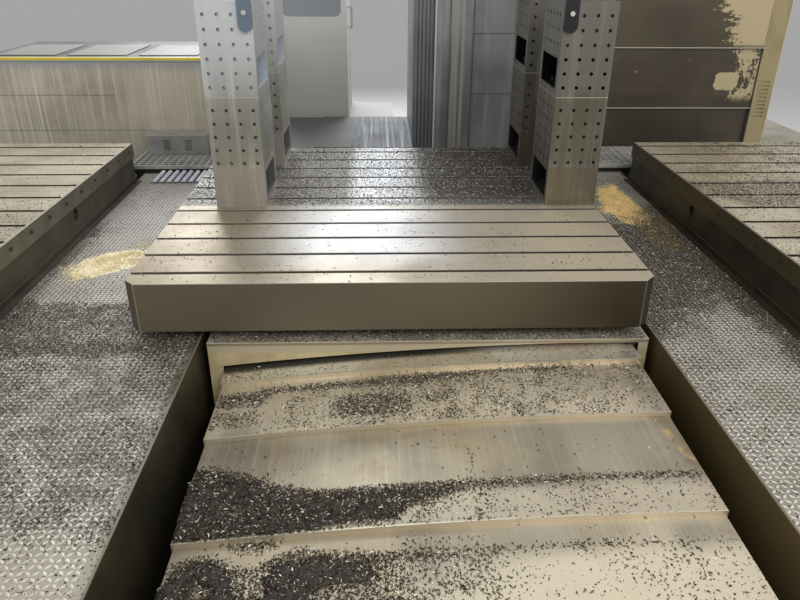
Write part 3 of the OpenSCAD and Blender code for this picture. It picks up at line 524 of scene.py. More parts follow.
coverChips = (firstCoverChips, secondCoverChips, thirdCoverChips, fourthCoverChips, fifthCoverChips)
# each cover is a lit copy of one look; the covers under the table are brightened most against its shade:
# painted light
coverShine = (1.75, 1.5, 1.14, 1.32, 1.36)
for i, chips in enumerate(coverChips):
    shone = lighter(coverLook, coverShine[i])
    dress(["front_cover_%d" % (i + 1)], surface("frontCover%d" % (i + 1), shone, chips, (
        (tint(134, 104, 58), lambda p: ramp(p.x, 1.02, 1.2) * ramp(p.noise(9, 3), 0.46, 0.62) * 0.7),
        (tint(172, 164, 144), seam),
        (tint(166, 146, 98), lambda p: ramp(p.noise(1.3, 4), 0.5, 0.66) * 0.4),
        (tint(126, 124, 114), lambda p: ramp(p.noise(0.9, 3, p.stretched((1.6, 0.5, 1))), 0.52, 0.64) * 0.5),
        # painted sheen: pale patches right of the middle of the front covers
        (tint(236, 224, 198), lambda p: ramp(p.x - 1.2 * (p.y + 2.6), -0.1, 0.5)
         * (1 - ramp(p.y, -2.56, -2.44)) * 0.8),
        (tint(222, 210, 186), lambda p: ramp(p.x, -0.1, 0.5) * band(p.y, -2.38, -2.2, 0.04) * 0.6),
        (tint(140, 128, 104), lambda p: (1 - ramp(p.x, 0.0, 0.4)) * band(p.y, -2.5, -2.358, 0.01) * 0.55),
        (tint(214, 184, 122), goldArc),
        # painted shadow under the edge of the saddle plate's opening, fading to the right
        (tint(30, 27, 23), lambda p: ramp(p.y + (0.2 - p.x) * 0.02, -1.3, -1.262)
         * (1 - ramp(p.x, 0.1, 0.7)) * 0.85),
        # painted light: the lips' front faces are coloured like the lit sheet
        (tint(196, 186, 166), lambda p: ramp(0 - p.face(1), 0.4, 0.8)),
        (tint(216, 208, 188), lipHighlight(coverLips[i])))))
rearCover = surface("rearCoverSteel", coverLook)
dress(["rear_cover_1", "rear_cover_2", "rear_cover_3", "cross_cover_right_1", "cross_cover_right_2"],
      rearCover)
crossLook = dict(coverLook, base=tint(74, 79, 88), shade=tint(46, 50, 60), streak=tint(200, 207, 220),
                 grain=(44, 0.6, 6), streaks=0.85, metal=0.0, rough=0.6)
dress(["cross_cover_left_1", "cross_cover_left_2"], surface("paleCover", crossLook, None, (
    (tint(92, 92, 90), lambda p: 1 - ramp(p.x, -0.312, -0.308)),)))

deckLook = tones((152, 147, 135), (124, 118, 107), streak=(172, 166, 154), mottle=4.0, grain=(20, 20, 20),
                 streaks=0.4, rough=0.48, metal=0.3, grit=260, glints=0.15, gritShare=0.4,
                 gritTone=tint(84, 74, 62), flecks=(0.014, 0.009), fleckShare=0.5, bump=0.7)
heapTones = {"left": tint(255, 244, 208), "right": tint(252, 224, 158)}
lugPaint = {}


def heapDust(paint, side):
    return ramp(heapShare(paint.x, paint.y, side) + (paint.noise(8, 6, None, 0.75) - 0.5) * 2.2, 0.3, 0.6)


def heapTrail(paint):
    share = heapShare(paint.x - 0.1, paint.y + 0.5, "right")
    return ramp(share + paint.noise(12, 5, None, 0.7) - 0.5, 0.3, 0.6)


# darker deck where the chips lie thick
def darkUnderChips(paint, chips):
    return ramp(chips(paint.x, paint.y) * (paint.noise(9, 5, None, 0.7) * 2.0), 0.55, 1.1)


for side, chips in (("left", leftDeckChips), ("right", rightDeckChips)):
    deckPatches = (
        (tint(112, 112, 112), lambda p: ramp(p.y, -0.3, 0.4) * 0.75),
        (tint(196, 190, 176), lambda p: (1 - ramp(p.y, -2.7, -2.3)) * 0.6),
        (tint(64, 55, 44), lambda p, chips=chips: darkUnderChips(p, chips) * 0.7),
        (heapTones[side], lambda p, side=side: heapDust(p, side)),
        (tint(150, 128, 76), lambda p: heapTrail(p) * 0.6))
    dress(["deck_" + side], surface(side + "DeckPlate", deckLook, chips, deckPatches))
    lugLook = dict(deckLook, base=tint(238, 233, 222), shade=tint(216, 209, 195), metal=0.25, rough=0.5)
    lugPaint[side] = surface(side + "TreadLugs", lugLook, None, deckPatches[2:])

darkSheet = tones((60, 54, 40), (42, 40, 31), streak=(78, 70, 52), mottle=5.0, grain=(8, 8, 8), rough=0.45,
                  metal=0.1, gritShare=0.4, gritTone=tint(112, 102, 88))
dress(["trough_walls"], surface("troughSheet", darkSheet, None, (
    (tint(104, 88, 56), lambda p: ramp(p.x, 1.0, 1.2) * 0.8),
    # painted highlight on the walls' top edges
    (tint(128, 118, 98), lambda p: ramp(p.z, 1.0985, 1.1005)))))
dress(["feed_motor"], surface("darkSheet", darkSheet))
terminalLook = dict(darkSheet, **tones((170, 170, 168), (150, 150, 148), (160, 158, 152)))
dress(["terminal_box"], surface("terminalSheet", terminalLook))
dress(["foot_rails"], surface("railSheet", darkSheet, None, (
    # faint painted highlight on the rails' tops
    (tint(84, 76, 60), lambda p: ramp(p.z, 1.1275, 1.129)),)))
bandLook = dict(darkSheet, base=tint(118, 112, 96), shade=tint(96, 92, 78))
dress(["plate_bands"], surface("bandSheet", bandLook, None, (
    # painted shade: the right band darker
    (tint(76, 67, 45), lambda p: ramp(p.x, 0, 1)),
    # painted highlight along the bands' top edge, weaker to the right
    (tint(176, 170, 156), lambda p: ramp(p.z, 1.3965, 1.3985) * (1 - 0.8 * ramp(p.x, 0, 1))))))
baseLook = dict(darkSheet, **tones((74, 67, 51), (57, 53, 42), (94, 84, 66), grain=(2, 2, 9)))
dress(["side_base_left", "bed", "cross_bed", "screw_supports"], surface("basePaint", baseLook))
# the right base is a darker copy of the same paint: painted shade
dress(["side_base_right"], surface("rightBasePaint", lighter(baseLook, 0.84)))

towerLook = tones((134, 131, 122), (106, 103, 92), streak=(184, 181, 172), mottle=2.5, grain=(26, 26, 1.1),
                  streaks=0.75, rough=0.36, metal=0.7, grainDepth=0.2, gritShare=0.15,
                  gritTone=tint(84, 76, 68))
towerNames = [n for n in nodes if n.startswith("tower_") and n != "tower_bolts"]


def windowInside(paint):  # the inside of each foot window, painted light in the left tower and painted shade in the right
    inside = band(paint.z, 1.4385, 1.6065, 0.0006) + band(paint.z, 2.0795, 2.2475, 0.0006)
    left = band(paint.x, -1.026, -0.732, 0.0008)
    right = band(paint.x, 0.953, 1.247, 0.0008)
    deep = band(paint.y, -0.154, 0.303, 0.001) + band(paint.y, 0.75, 1.207, 0.001)
    return inside * (left + right) * deep


# the left and right towers are lit and shaded copies of one steel: painted light and shade. top is painted
# light on each tower's upper part.
towerTones = {
    "left": {"look": lighter(dict(towerLook, metal=0.5), 1.2), "top": tint(224, 228, 232),
             "topLightBand": (1.75, 2.45, 0.8),
             "foot": tint(176, 168, 158), "low": tint(146, 146, 136), "window": tint(204, 211, 219)},
    "right": {"look": lighter(towerLook, 0.88), "top": tint(120, 118, 110), "topLightBand": (2.04, 2.1, 0.6),
              "foot": tint(112, 102, 84), "low": tint(104, 98, 78), "window": tint(22, 21, 20)}}
for side, tower in towerTones.items():
    dress([n for n in towerNames if side in n], surface(side + "TowerSteel", tower["look"], None, (
        (tower["top"], lambda p, topLightBand=tower["topLightBand"]: ramp(p.z, topLightBand[0], topLightBand[1]) * topLightBand[2]),
        (tower["foot"], lambda p: (1 - ramp(p.z, 1.62, 1.66)) * 0.7),
        (tower["low"], lambda p: band(p.z, 1.66, 2.04, 0.02) * 0.45),
        # painted highlight along the edge at 2.04 m
        (tint(206, 200, 184), lambda p: band(p.z, 2.0385, 2.0425, 0.0008) * 0.8),
        # painted shade on faces to the back and, on the left tower, faces looking outward
        (tint(124, 122, 114), lambda p: behind(p) + outward(p) * (1 - ramp(p.x, -0.4, 0.0))),
        # painted light and shade inside the foot windows
        (tower["window"], windowInside),
        # painted shade in the lower foot windows
        (tint(60, 60, 60), lambda p: windowInside(p) * (1 - ramp(p.z, 1.8, 1.9)) * 0.75))))
darkSteel = tones((44, 44, 46), (32, 32, 34), rough=0.4, metal=0.5)
dress(["tower_bolts"], surface("darkSteel", darkSteel))
dress(["plate_bolts"], surface("boltSteel", lighter(darkSteel, 1.9)))
dress(["stop_brackets"], surface("bracketSteel", darkSteel, None, (
    (tint(120, 134, 152), lambda p: (1 - ramp(p.x, -0.4, 0.0)) * 0.9),
    (tint(205, 205, 200), lambda p: 1 - ramp(p.y, -0.188, -0.184)),)))
turned = dict(towerLook, base=tint(160, 160, 158), shade=tint(136, 136, 132))
dress(["ball_nut", "rotary_bearing", "feed_screw", "table_ring", "ram", "spindle"],
      surface("turnedSteel", turned))

creamLook = tones((184, 171, 134), (158, 144, 108), streak=(112, 98, 72), mottle=6.0, grain=(3, 3, 14),
                  rough=0.5, metal=0.0, gritShare=0.3, gritTone=tint(92, 80, 60))


def scraped(paint):  # bare grey strip with a ragged edge under the ledge
    ragged = paint.noise(24, 6.0, paint.stretched((1, 1, 0.5)), 0.8) * 0.05
    spots = 1 - ramp(paint.noise(11, 4.0, None, 0.7), 0.56, 0.575) * ramp(paint.x, 0.2, 0.6)
    return ramp(paint.z + ragged, 1.057, 1.0585) * spots


dress(["saddle_plate"], surface("saddlePaint", lighter(creamLook, 1.12), None, (
    (tint(184, 174, 148), scraped),)))
ledgeLook = dict(deckLook, base=tint(206, 197, 180), shade=tint(170, 161, 146), gritTone=tint(96, 88, 78),
                 fleckShare=0.3)
dress(["saddle"], surface("saddleLedge", ledgeLook, ledgeChips, (
    (tint(150, 138, 116), upright),
    # painted highlight along the ledge's front edge
    (tint(222, 212, 192), lambda p: band(p.y, -1.2625, -1.2585, 0.0008) * ramp(p.z, 1.0872, 1.0878)))))

gratingLook = tones((200, 200, 197), (150, 149, 144), rough=0.45, metal=0.2)
dress(["gratings"], surface("gratingSteel", gratingLook, None, (
    # painted light on the bar tops
    (tint(246, 246, 243), lambda p: ramp(p.z, 1.1485, 1.1495)),
    # painted shade down between the bars
    (tint(38, 36, 32), lambda p: 1 - ramp(p.z, 1.118, 1.122)),)))
# the step's near-white tone is painted light against its shade
stepLook = tones((246, 249, 255), (224, 230, 242), rough=0.45, metal=0.0, gritShare=0.5,
                 gritTone=tint(60, 60, 66))
dress(["rear_step"], surface("stepSheet", stepLook, None, (
    # painted shade below the ribs' tops
    (tint(70, 74, 84), lambda p: 1 - ramp(p.z, 1.098, 1.101)),)))

guardLook = tones((206, 198, 180), (170, 163, 146), streak=(230, 223, 208), mottle=2.0, grain=(60, 60, 0.9),
                  streaks=0.85, rough=0.5, metal=0.2, gritShare=0.3)


def guardGreyTop(paint):  # the greyer top of the guard
    return ramp(paint.z + paint.noise(5, 4, paint.stretched((1, 1, 0.2))) * 0.1, 1.865, 1.945) * 0.7


dress(["left_guard"], surface("guardSheet", guardLook, None, (
    (tint(160, 166, 174), guardGreyTop),
    (tint(92, 84, 70), lambda p: band(p.z, 1.619, 1.623, 0.001) * (1 - ramp(p.x, -2.4, -2.39))),
    (tint(92, 84, 70), lambda p: band(p.z, 1.309, 1.313, 0.001)))))
yellowLook = tones((245, 226, 84), (222, 200, 66), rough=0.45, metal=0.0)
dress(["guard_edge"], surface("yellowEdge", yellowLook, None, (
    (tint(150, 156, 162), lambda p: 1 - ramp(p.z, 1.916, 1.9175)),)))
walkLook = tones((78, 80, 82), (58, 60, 62), rough=0.5, metal=0.1)
dress(["walkway"], surface("walkwayMat", walkLook, None, (
    (tint(136, 133, 128), lambda p: ramp(p.z, 1.9362, 1.938)),)))
# the cab's near-white tone is painted light against the shade it stands in
cabLook = tones((232, 232, 231), (222, 222, 220), streak=(240, 240, 238), grain=(6, 6, 1), rough=0.4,
                metal=0.1)
dress(["cab_shell", "cab_door"], surface("cabPaint", cabLook, None, (
    # painted shade, darker towards the bottom
    (tint(186, 185, 182), lambda p: 1 - ramp(p.z, 1.3, 2.5)),
    # painted shade: faces to the back, the sides and the top are greyer than the front
    (tint(150, 150, 149), lambda p: behind(p) + outward(p)),
    (tint(150, 150, 149), lambda p: ramp(p.face(2), 0.4, 0.8)),)))


def makeGlass():
    paint = Paint("cabGlass")
    shader = paint.node("ShaderNodeBsdfPrincipled", {
        "Base Color": tint(214, 224, 232), "Roughness": 0.08, "Alpha": 0.35, "Metallic": 0.0})
    paint.link(shader)
    return paint.material


dress(["cab_window"], makeGlass())
columnLook = tones((156, 158, 160), (124, 126, 128), streak=(196, 198, 200), mottle=1.8,
                   grain=(12, 12, 0.8), streaks=0.6, rough=0.42, metal=0.25, gritShare=0.3)
stripLook = dict(columnLook, base=tint(136, 137, 138), shade=tint(106, 107, 109), streak=tint(170, 171, 172))


def postShade(paint):
    return ramp(paint.x, 3.4, 3.402) * ramp(paint.noise(3, 4, paint.stretched((1, 1, 0.4))), 0.45, 0.6)


def brushed(paint):
    return ramp(paint.noise(60, 1, paint.stretched((1, 0.01, 0.01))), 0.4, 0.6)


dress(["column"], surface("columnPaint", columnLook, None, (
    # painted shade: faces to the back and the top darker than the front
    (tint(108, 106, 98), lambda p: behind(p) + ramp(p.face(2), 0.4, 0.8)),
    (tint(180, 164, 124), lambda p: ramp(p.x, 3.4, 3.402)),
    (tint(158, 142, 106), postShade),
    # painted highlight: bright line along the post's edge
    (tint(222, 212, 184), lambda p: band(p.x, 3.5655, 3.5705, 0.0008)))))
dress(["column_strips"], surface("stripSheet", stripLook, None, (
    (tint(104, 110, 120), lambda p: band(p.x, 0.28, 0.46, 0.01) * 0.6),
    # painted highlight: bright vertical line on the strips' edge
    (tint(206, 206, 200), lambda p: band(p.x, 0.4515, 0.4665, 0.001) * (1 - ramp(p.y, 2.364, 2.368))),
    (tint(156, 155, 150), lambda p: band(p.x, 0.6, 0.72, 0.01) * brushed(p)))))
coverSheet = tones((92, 83, 67), (73, 66, 53), streak=(108, 98, 80), mottle=1.4, grain=(1.0, 8, 8),
                   streaks=0.4, rough=0.42, metal=0.35, gritShare=0.3)


def bare(paint):  # ragged beige patches at the right end of the wide covers
    fingers = paint.noise(4.5, 9.0, paint.stretched((0.5, 1, 3.0)), 0.82)
    reach = 0.95 * (paint.x - 3.0) + 0.5 * (paint.z - 2.2) - 0.9 * ramp(paint.z, 2.5, 3.1)
    reach = reach + (paint.noise(34.0, 3.0) - 0.5) * 0.3
    upper = ramp(fingers + reach, 0.56, 0.575) * ramp(paint.z, 2.03, 2.06)
    rag = paint.noise(6.0, 9.0, paint.stretched((1, 1, 0.8)), 0.86)
    spot = band(paint.x, 3.01, 3.24, 0.06) * band(paint.z, 1.65, 1.82, 0.06)
    blob = ramp(rag + 0.55 * spot - 0.3, 0.5, 0.52)
    coarse = (paint.noise(8.0, 2.0) - 0.5) * 0.8
    fine = paint.noise(30.0, 3.0, None, 0.7)
    speckle = ramp(fine + coarse + 0.35 * ramp(paint.x, 3.0, 3.3) - 0.3, 0.5, 0.53)
    return upper + blob + speckle * band(paint.z, 1.58, 2.02, 0.04)


def foldLine(paint):  # the bright folded foot of each wide cover
    return band(paint.z, 1.4915, 1.4985, 0.001) + band(paint.z, 2.0225, 2.0295, 0.001)


dress(["headstock"], surface("headPaint", coverSheet))
dress(["head_cover_1", "head_cover_2", "head_cover_3"], surface("coverPaint", coverSheet, None, (
    (tint(70, 58, 58), lambda p: ramp(p.noise(0.9, 2), 0.52, 0.66) * 0.45),
    (tint(62, 68, 54), lambda p: ramp(p.noise(0.8, 2, p.stretched((0.7, 1, 1.6))), 0.54, 0.66) * 0.45),
    (tint(206, 190, 152), bare),
    (tint(206, 200, 186), foldLine))))


print("loose chips, piles and tread")


def plainObject(name, data):
    made = bpy.data.objects.new(name, data)
    bpy.context.scene.collection.objects.link(made)
    return made


def crescent(name, bend, width, rings):  # one curled chip, closed, about as long as 1
    points = []
    faces = []
    for i in range(rings + 1):
        t = i / rings
        angle = (t - 0.5) * bend
        middle = Vector((math.sin(angle) / max(bend, 0.3), (1 - math.cos(angle)) / max(bend, 0.3), 0.0))
        thick = width * math.sin(math.pi * t)
        if 0 < i < rings:
            for dx, dz in ((-0.5, 0.0), (0.5, 0.0), (0.0, 0.7)):
                across = Vector((-math.sin(angle) * dx, math.cos(angle) * dx, dz))
                points.append(middle + across * thick)
        else:
            points.append(middle)
    for i in range(rings - 1):
        first = 1 + 3 * (i - 1)
        for k in range(3):
            nextK = (k + 1) % 3
            if i == 0:
                faces.append((0, 1 + nextK, 1 + k))
            else:
                faces.append((first + k, first + nextK, first + 3 + nextK, first + 3 + k))
    last = len(points) - 1
    for k in range(3):
        faces.append((last, last - 3 + k, last - 3 + (k + 1) % 3))
    data = bpy.data.meshes.new(name)
    data.from_pydata([tuple(p) for p in points], [], faces)
    whole = bmesh.new()
    whole.from_mesh(data)
    bmesh.ops.recalc_face_normals(whole, faces=whole.faces)
    whole.to_mesh(data)
    whole.free()
    return plainObject(name, data)


def shapeSet(name, shapes):
    group = bpy.data.collections.new(name)
    bpy.context.scene.collection.children.link(group)
    for shape in shapes:
        bpy.context.scene.collection.objects.unlink(shape)
        group.objects.link(shape)
    return group


def newTree(name, sockets):
    tree = bpy.data.node_groups.new(name, "GeometryNodeTree")
    tree.interface.new_socket("Geometry", in_out="INPUT", socket_type="NodeSocketGeometry")
    for label, kind in sockets:
        tree.interface.new_socket(label, in_out="INPUT", socket_type="NodeSocket" + kind)
    tree.interface.new_socket("Geometry", in_out="OUTPUT", socket_type="NodeSocketGeometry")
    return tree, tree.nodes.new("NodeGroupInput"), tree.nodes.new("NodeGroupOutput")


def coated(tree, lay, given, result):  # makes the instances real and gives them their material
    link = tree.links.new
    solid = tree.nodes.new("GeometryNodeRealizeInstances")
    link(lay.outputs[0], solid.inputs[0])
    coat = tree.nodes.new("GeometryNodeSetMaterial")
    link(solid.outputs[0], coat.inputs["Geometry"])
    link(given.outputs["Finish"], coat.inputs["Material"])
    link(coat.outputs[0], result.inputs[0])
    return tree


def scatterTree():
    tree, given, result = newTree("scatter", (
        ("Most", "Float"), ("Seed", "Int"), ("Size", "Float"), ("Tilt", "Float"), ("Shapes", "Collection"),
        ("Finish", "Material")))
    link = tree.links.new
    named = tree.nodes.new("GeometryNodeInputNamedAttribute")
    named.data_type = "FLOAT"
    named.inputs["Name"].default_value = "chipShare"
    thick = maths(tree, "MULTIPLY", named.outputs["Attribute"], given.outputs["Most"])
    spread = tree.nodes.new("GeometryNodeDistributePointsOnFaces")
    link(given.outputs["Geometry"], spread.inputs["Mesh"])
    link(thick, spread.inputs["Density"])
    link(given.outputs["Seed"], spread.inputs["Seed"])
    tiltLow = tree.nodes.new("ShaderNodeCombineXYZ")
    tiltHigh = tree.nodes.new("ShaderNodeCombineXYZ")
    minus = maths(tree, "MULTIPLY", given.outputs["Tilt"], -1)
    for k in range(2):
        link(minus, tiltLow.inputs[k])
        link(given.outputs["Tilt"], tiltHigh.inputs[k])
    tiltHigh.inputs[2].default_value = 2 * math.pi
    turn = tree.nodes.new("FunctionNodeRandomValue")
    turn.data_type = "FLOAT_VECTOR"
    link(tiltLow.outputs[0], turn.inputs["Min"])
    link(tiltHigh.outputs[0], turn.inputs["Max"])
    link(given.outputs["Seed"], turn.inputs["Seed"])
    big = tree.nodes.new("FunctionNodeRandomValue")
    big.data_type = "FLOAT"
    big.inputs[2].default_value = 0.55
    big.inputs[3].default_value = 1.3
    link(given.outputs["Seed"], big.inputs["Seed"])
    grown = maths(tree, "MULTIPLY", big.outputs[1], given.outputs["Size"])
    shapes = tree.nodes.new("GeometryNodeCollectionInfo")
    shapes.inputs["Separate Children"].default_value = True
    shapes.inputs["Reset Children"].default_value = True
    link(given.outputs["Shapes"], shapes.inputs["Collection"])
    lay = tree.nodes.new("GeometryNodeInstanceOnPoints")
    lay.inputs["Pick Instance"].default_value = True
    link(spread.outputs["Points"], lay.inputs["Points"])
    link(shapes.outputs[0], lay.inputs["Instance"])
    link(turn.outputs["Value"], lay.inputs["Rotation"])
    link(grown, lay.inputs["Scale"])
    return coated(tree, lay, given, result)


def treadTree():
    tree, given, result = newTree("tread", (
        ("Columns", "Int"), ("Rows", "Int"), ("Pitch", "Float"), ("Start", "Vector"), ("Finish", "Material")))
    link = tree.links.new
    index = tree.nodes.new("GeometryNodeInputIndex").outputs[0]
    column = maths(tree, "FLOOR", maths(tree, "DIVIDE", index, given.outputs["Rows"]), 0)
    row = maths(tree, "SUBTRACT", index, maths(tree, "MULTIPLY", column, given.outputs["Rows"]))
    odd = maths(tree, "MODULO", maths(tree, "ADD", column, row), 2)
    grid = tree.nodes.new("GeometryNodePoints")
    link(maths(tree, "MULTIPLY", given.outputs["Columns"], given.outputs["Rows"]), grid.inputs["Count"])
    place = tree.nodes.new("ShaderNodeCombineXYZ")
    link(maths(tree, "MULTIPLY", column, given.outputs["Pitch"]), place.inputs[0])
    link(maths(tree, "MULTIPLY", row, given.outputs["Pitch"]), place.inputs[1])
    there = tree.nodes.new("ShaderNodeVectorMath")
    link(place.outputs[0], there.inputs[0])
    link(given.outputs["Start"], there.inputs[1])
    link(there.outputs[0], grid.inputs["Position"])
    turn = tree.nodes.new("ShaderNodeCombineXYZ")
    link(maths(tree, "ADD", maths(tree, "MULTIPLY", odd, math.pi / 2), math.pi / 4), turn.inputs[2])
    lay = tree.nodes.new("GeometryNodeInstanceOnPoints")
    link(grid.outputs[0], lay.inputs["Points"])
    link(given.outputs["Geometry"], lay.inputs["Instance"])
    link(turn.outputs[0], lay.inputs["Rotation"])
    return coated(tree, lay, given, result)


def grow(carrier, tree, values, name, body):  # runs the tree on the carrier and keeps a plain mesh
    modifier = carrier.modifiers.new("grow", "NODES")
    modifier.node_group = tree
    for item in tree.interface.items_tree:
        if item.in_out == "INPUT" and item.name in values:
            modifier[item.identifier] = values[item.name]
    bpy.context.view_layer.update()
    ready = carrier.evaluated_get(bpy.context.evaluated_depsgraph_get())
    data = bpy.data.meshes.new_from_object(ready)
    data.name = name
    made = plainObject(name, data)
    made.data.materials.clear()
    made.data.materials.append(values["Finish"])
    carrier.modifiers.remove(modifier)
    bpy.data.objects.remove(carrier)
    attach(made, body)
    print(name, len(data.polygons), "faces")


def sheetGrid(name, xs, ys, height, share):  # a grid with the share of chips kept at each point
    gridX, gridY = np.meshgrid(xs, ys, indexing="ij")
    z = height(gridX, gridY)
    data = bpy.data.meshes.new(name)
    points = np.stack((gridX, gridY, z), -1).reshape(-1, 3)
    rows = len(ys)
    faces = [(i * rows + j, (i + 1) * rows + j, (i + 1) * rows + j + 1, i * rows + j + 1)
             for i in range(len(xs) - 1) for j in range(rows - 1)]
    data.from_pydata(points.tolist(), [], faces)
    lay = data.attributes.new("chipShare", "FLOAT", "POINT")
    lay.data.foreach_set("value", np.clip(share(gridX, gridY), 0, 1.3).astype(np.float32).reshape(-1))
    return plainObject(name, data)


def patchiness(scale, low, high, seed):  # clumps and gaps for a share function
    def at(x, y):
        spots = zip(x.reshape(-1), y.reshape(-1))
        flat = [noise.noise((a * scale + seed, b * scale, seed)) for a, b in spots]
        return ramp(np.array(flat).reshape(x.shape), low, high)
    return at


def clumped(share, seed):
    wide = patchiness(2.6, -0.35, 0.35, seed)
    fine = patchiness(14.0, -0.3, 0.35, seed + 7)

    def held(x, y):
        kept = share(x, y)
        loose = (0.2 + 1.1 * wide(x, y)) * (0.12 + 1.3 * fine(x, y))
        whole = ramp(kept, 0.7, 1.0)
        return kept * (loose * (1 - whole) + whole)
    return held


def chipFinish():
    paint = Paint("steelChips")
    chance = paint.node("ShaderNodeNewGeometry", {}, output="Random Per Island")
    color = paint.mix(ramp(chance, 0.1, 0.95), tint(32, 27, 21), tint(104, 92, 76))
    # the palest chips are painted glints
    color = paint.mix(ramp(chance, 0.9, 0.94), color, chipTone["pale"])
    return paint.finish(color, 0.42, 0.35)


def granuleFinish():
    paint = Paint("creamGranules")
    color = paint.mix(paint.noise(60, 2), tint(255, 246, 214), tint(244, 230, 186))
    color = paint.mix(ramp(paint.x, -1, 1) * 0.75, color, tint(252, 220, 148))
    return paint.finish(color, 0.8, 0.0)


scatter = scatterTree()
chipPaint = chipFinish()
chipShapes = shapeSet("chipShapes", [
    crescent("chipLong", 1.2, 0.2, 2), crescent("chipBent", 2.2, 0.24, 2),
    crescent("chipShort", 0.5, 0.3, 2)])
grainShapes = shapeSet("grainShapes", [crescent("grain", 0.2, 0.8, 2)])
grainPaint = granuleFinish()
chipSettings = {"size": 0.014, "step": 0.03, "lift": 0.0012}
towerSpots = [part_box(n) for n in towerNames if n.endswith("lower")]
tops = {"table": 1.4, "deck": 1.09}


def clearOf(x, y, spots, edge):
    free = np.ones_like(x)
    for low, high in spots:
        alongX = band(x, low[0] - edge, high[0] + edge, 0.01)
        free = free * (1 - alongX * band(y, low[1] - edge, high[1] + edge, 0.01))
    return free


def chipField(name, body, area, height, share, most, seed, size=1.0, tilt=0.5, clump=True, step=None):
    (x0, y0), (x1, y1) = area
    step = step or chipSettings["step"]
    xs = np.linspace(x0, x1, max(2, int((x1 - x0) / step)))
    ys = np.linspace(y0, y1, max(2, int((y1 - y0) / step)))
    held = clumped(share, seed) if clump else share
    carrier = sheetGrid(name + "Carrier", xs, ys, height, held)
    return grow(carrier, scatter, {
        "Most": most, "Seed": seed, "Size": chipSettings["size"] * size, "Tilt": tilt, "Shapes": chipShapes,
        "Finish": chipPaint}, name, body)


def level(z):
    return lambda x, y: z + chipSettings["lift"] + 0 * x


def onCover(index):
    return lambda x, y: coverTop(index, x) + chipSettings["lift"]


ledgeClumps = patchiness(22.0, -0.3, 0.3, 5)
chipField("tableChips", "table", ((-1.24, -1.24), (1.24, 1.24)), level(tops["table"]),
          lambda x, y: tableChips(x, y) * clearOf(x, y, towerSpots, 0.015), 7800, 11)
chipField("ledgeChips", "saddle", ((-0.885, -1.255), (1.245, -1.06)), level(tops["deck"]),
          lambda x, y: ledgeChips(x, y) * (0.5 + 0.7 * ledgeClumps(x, y)), 15000, 12, 0.9, clump=False)
frameFields = (
    ("leftDeckChips", ((-1.98, -3.26), (-0.94, 1.2)), "deck", leftDeckChips, 11500),
    ("rightDeckChips", ((1.3, -3.26), (1.98, 1.5)), "deck", rightDeckChips, 10500),
    ("leftPlateChips", ((-3.5, -1.28), (-2.03, 1.4)), "table", leftPlateChips, 4200),
    ("rightPlateChips", ((2.03, -1.28), (3.5, 1.4)), "table", rightPlateChips, 9000))
for seed, (name, area, top, share, most) in enumerate(frameFields, 13):
    chipField(name, "frame", area, level(tops[top]), share, most, seed)
coverBodies = ("saddle", "front_cover_2", "front_cover_3", "front_cover_4", "frame")
coverStarts = [-1.26] + coverLips[:-1]
coverMost = (7000, 17000, 21000, 15000, 5000)
for i, body in enumerate(coverBodies):
    low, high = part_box("front_cover_%d" % (i + 1))
    area = ((low[0] + 0.01, coverLips[i] + 0.008), (high[0] - 0.01, coverStarts[i] - 0.002))
    chipField("coverChips%d" % (i + 1), body, area, onCover(i), coverChips[i], coverMost[i], 20 + i, 1.2,
              step=0.02)


def mound(name, body, area, base, height, paint, step=0.012, seed=1.0):  # a closed heap on a surface
    (x0, y0), (x1, y1) = area
    xs = np.linspace(x0, x1, int((x1 - x0) / step))
    ys = np.linspace(y0, y1, int((y1 - y0) / step))
    gridX, gridY = np.meshgrid(xs, ys, indexing="ij")
    rise = height(gridX, gridY)
    rough = [noise.fractal((a * 30 + seed, b * 30, 0.0), 0.8, 2.0, 3) for a, b in
             zip(gridX.reshape(-1), gridY.reshape(-1))]
    rise = rise * (1 + 0.35 * np.array(rough).reshape(rise.shape))
    floor = base(gridX, gridY)
    kept = rise > 0.0006
    rows = len(ys)
    count = gridX.size
    top = np.stack((gridX, gridY, floor + np.maximum(rise, 0.0004)), -1).reshape(-1, 3)
    under = np.stack((gridX, gridY, floor + 0.0001), -1).reshape(-1, 3)
    faces = []
    used = kept[:-1, :-1] & kept[1:, :-1] & kept[1:, 1:] & kept[:-1, 1:]
    for i in range(len(xs) - 1):
        for j in range(rows - 1):
            if not used[i, j]:
                continue
            a, b, c, d = i * rows + j, (i + 1) * rows + j, (i + 1) * rows + j + 1, i * rows + j + 1
            faces.append((a, b, c, d))
            faces.append((d + count, c + count, b + count, a + count))
            if j == 0 or not used[i, j - 1]:
                faces.append((b, a, a + count, b + count))
            if j == rows - 2 or not used[i, j + 1]:
                faces.append((d, c, c + count, d + count))
            if i == 0 or not used[i - 1, j]:
                faces.append((a, d, d + count, a + count))
            if i == len(xs) - 2 or not used[i + 1, j]:
                faces.append((c, b, b + count, c + count))
    data = bpy.data.meshes.new(name)
    data.from_pydata(np.concatenate((top, under)).tolist(), [], faces)
    made = plainObject(name, data)
    tidy = made.modifiers.new("tidy", "WELD")
    tidy.merge_threshold = 0.00001
    made.data = bpy.data.meshes.new_from_object(made.evaluated_get(bpy.context.evaluated_depsgraph_get()))
    made.data.name = name
    made.modifiers.clear()
    made.data.polygons.foreach_set("use_smooth", [True] * len(made.data.polygons))
    made.data.materials.append(paint)
    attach(made, body)
    print(name, len(faces), "faces")


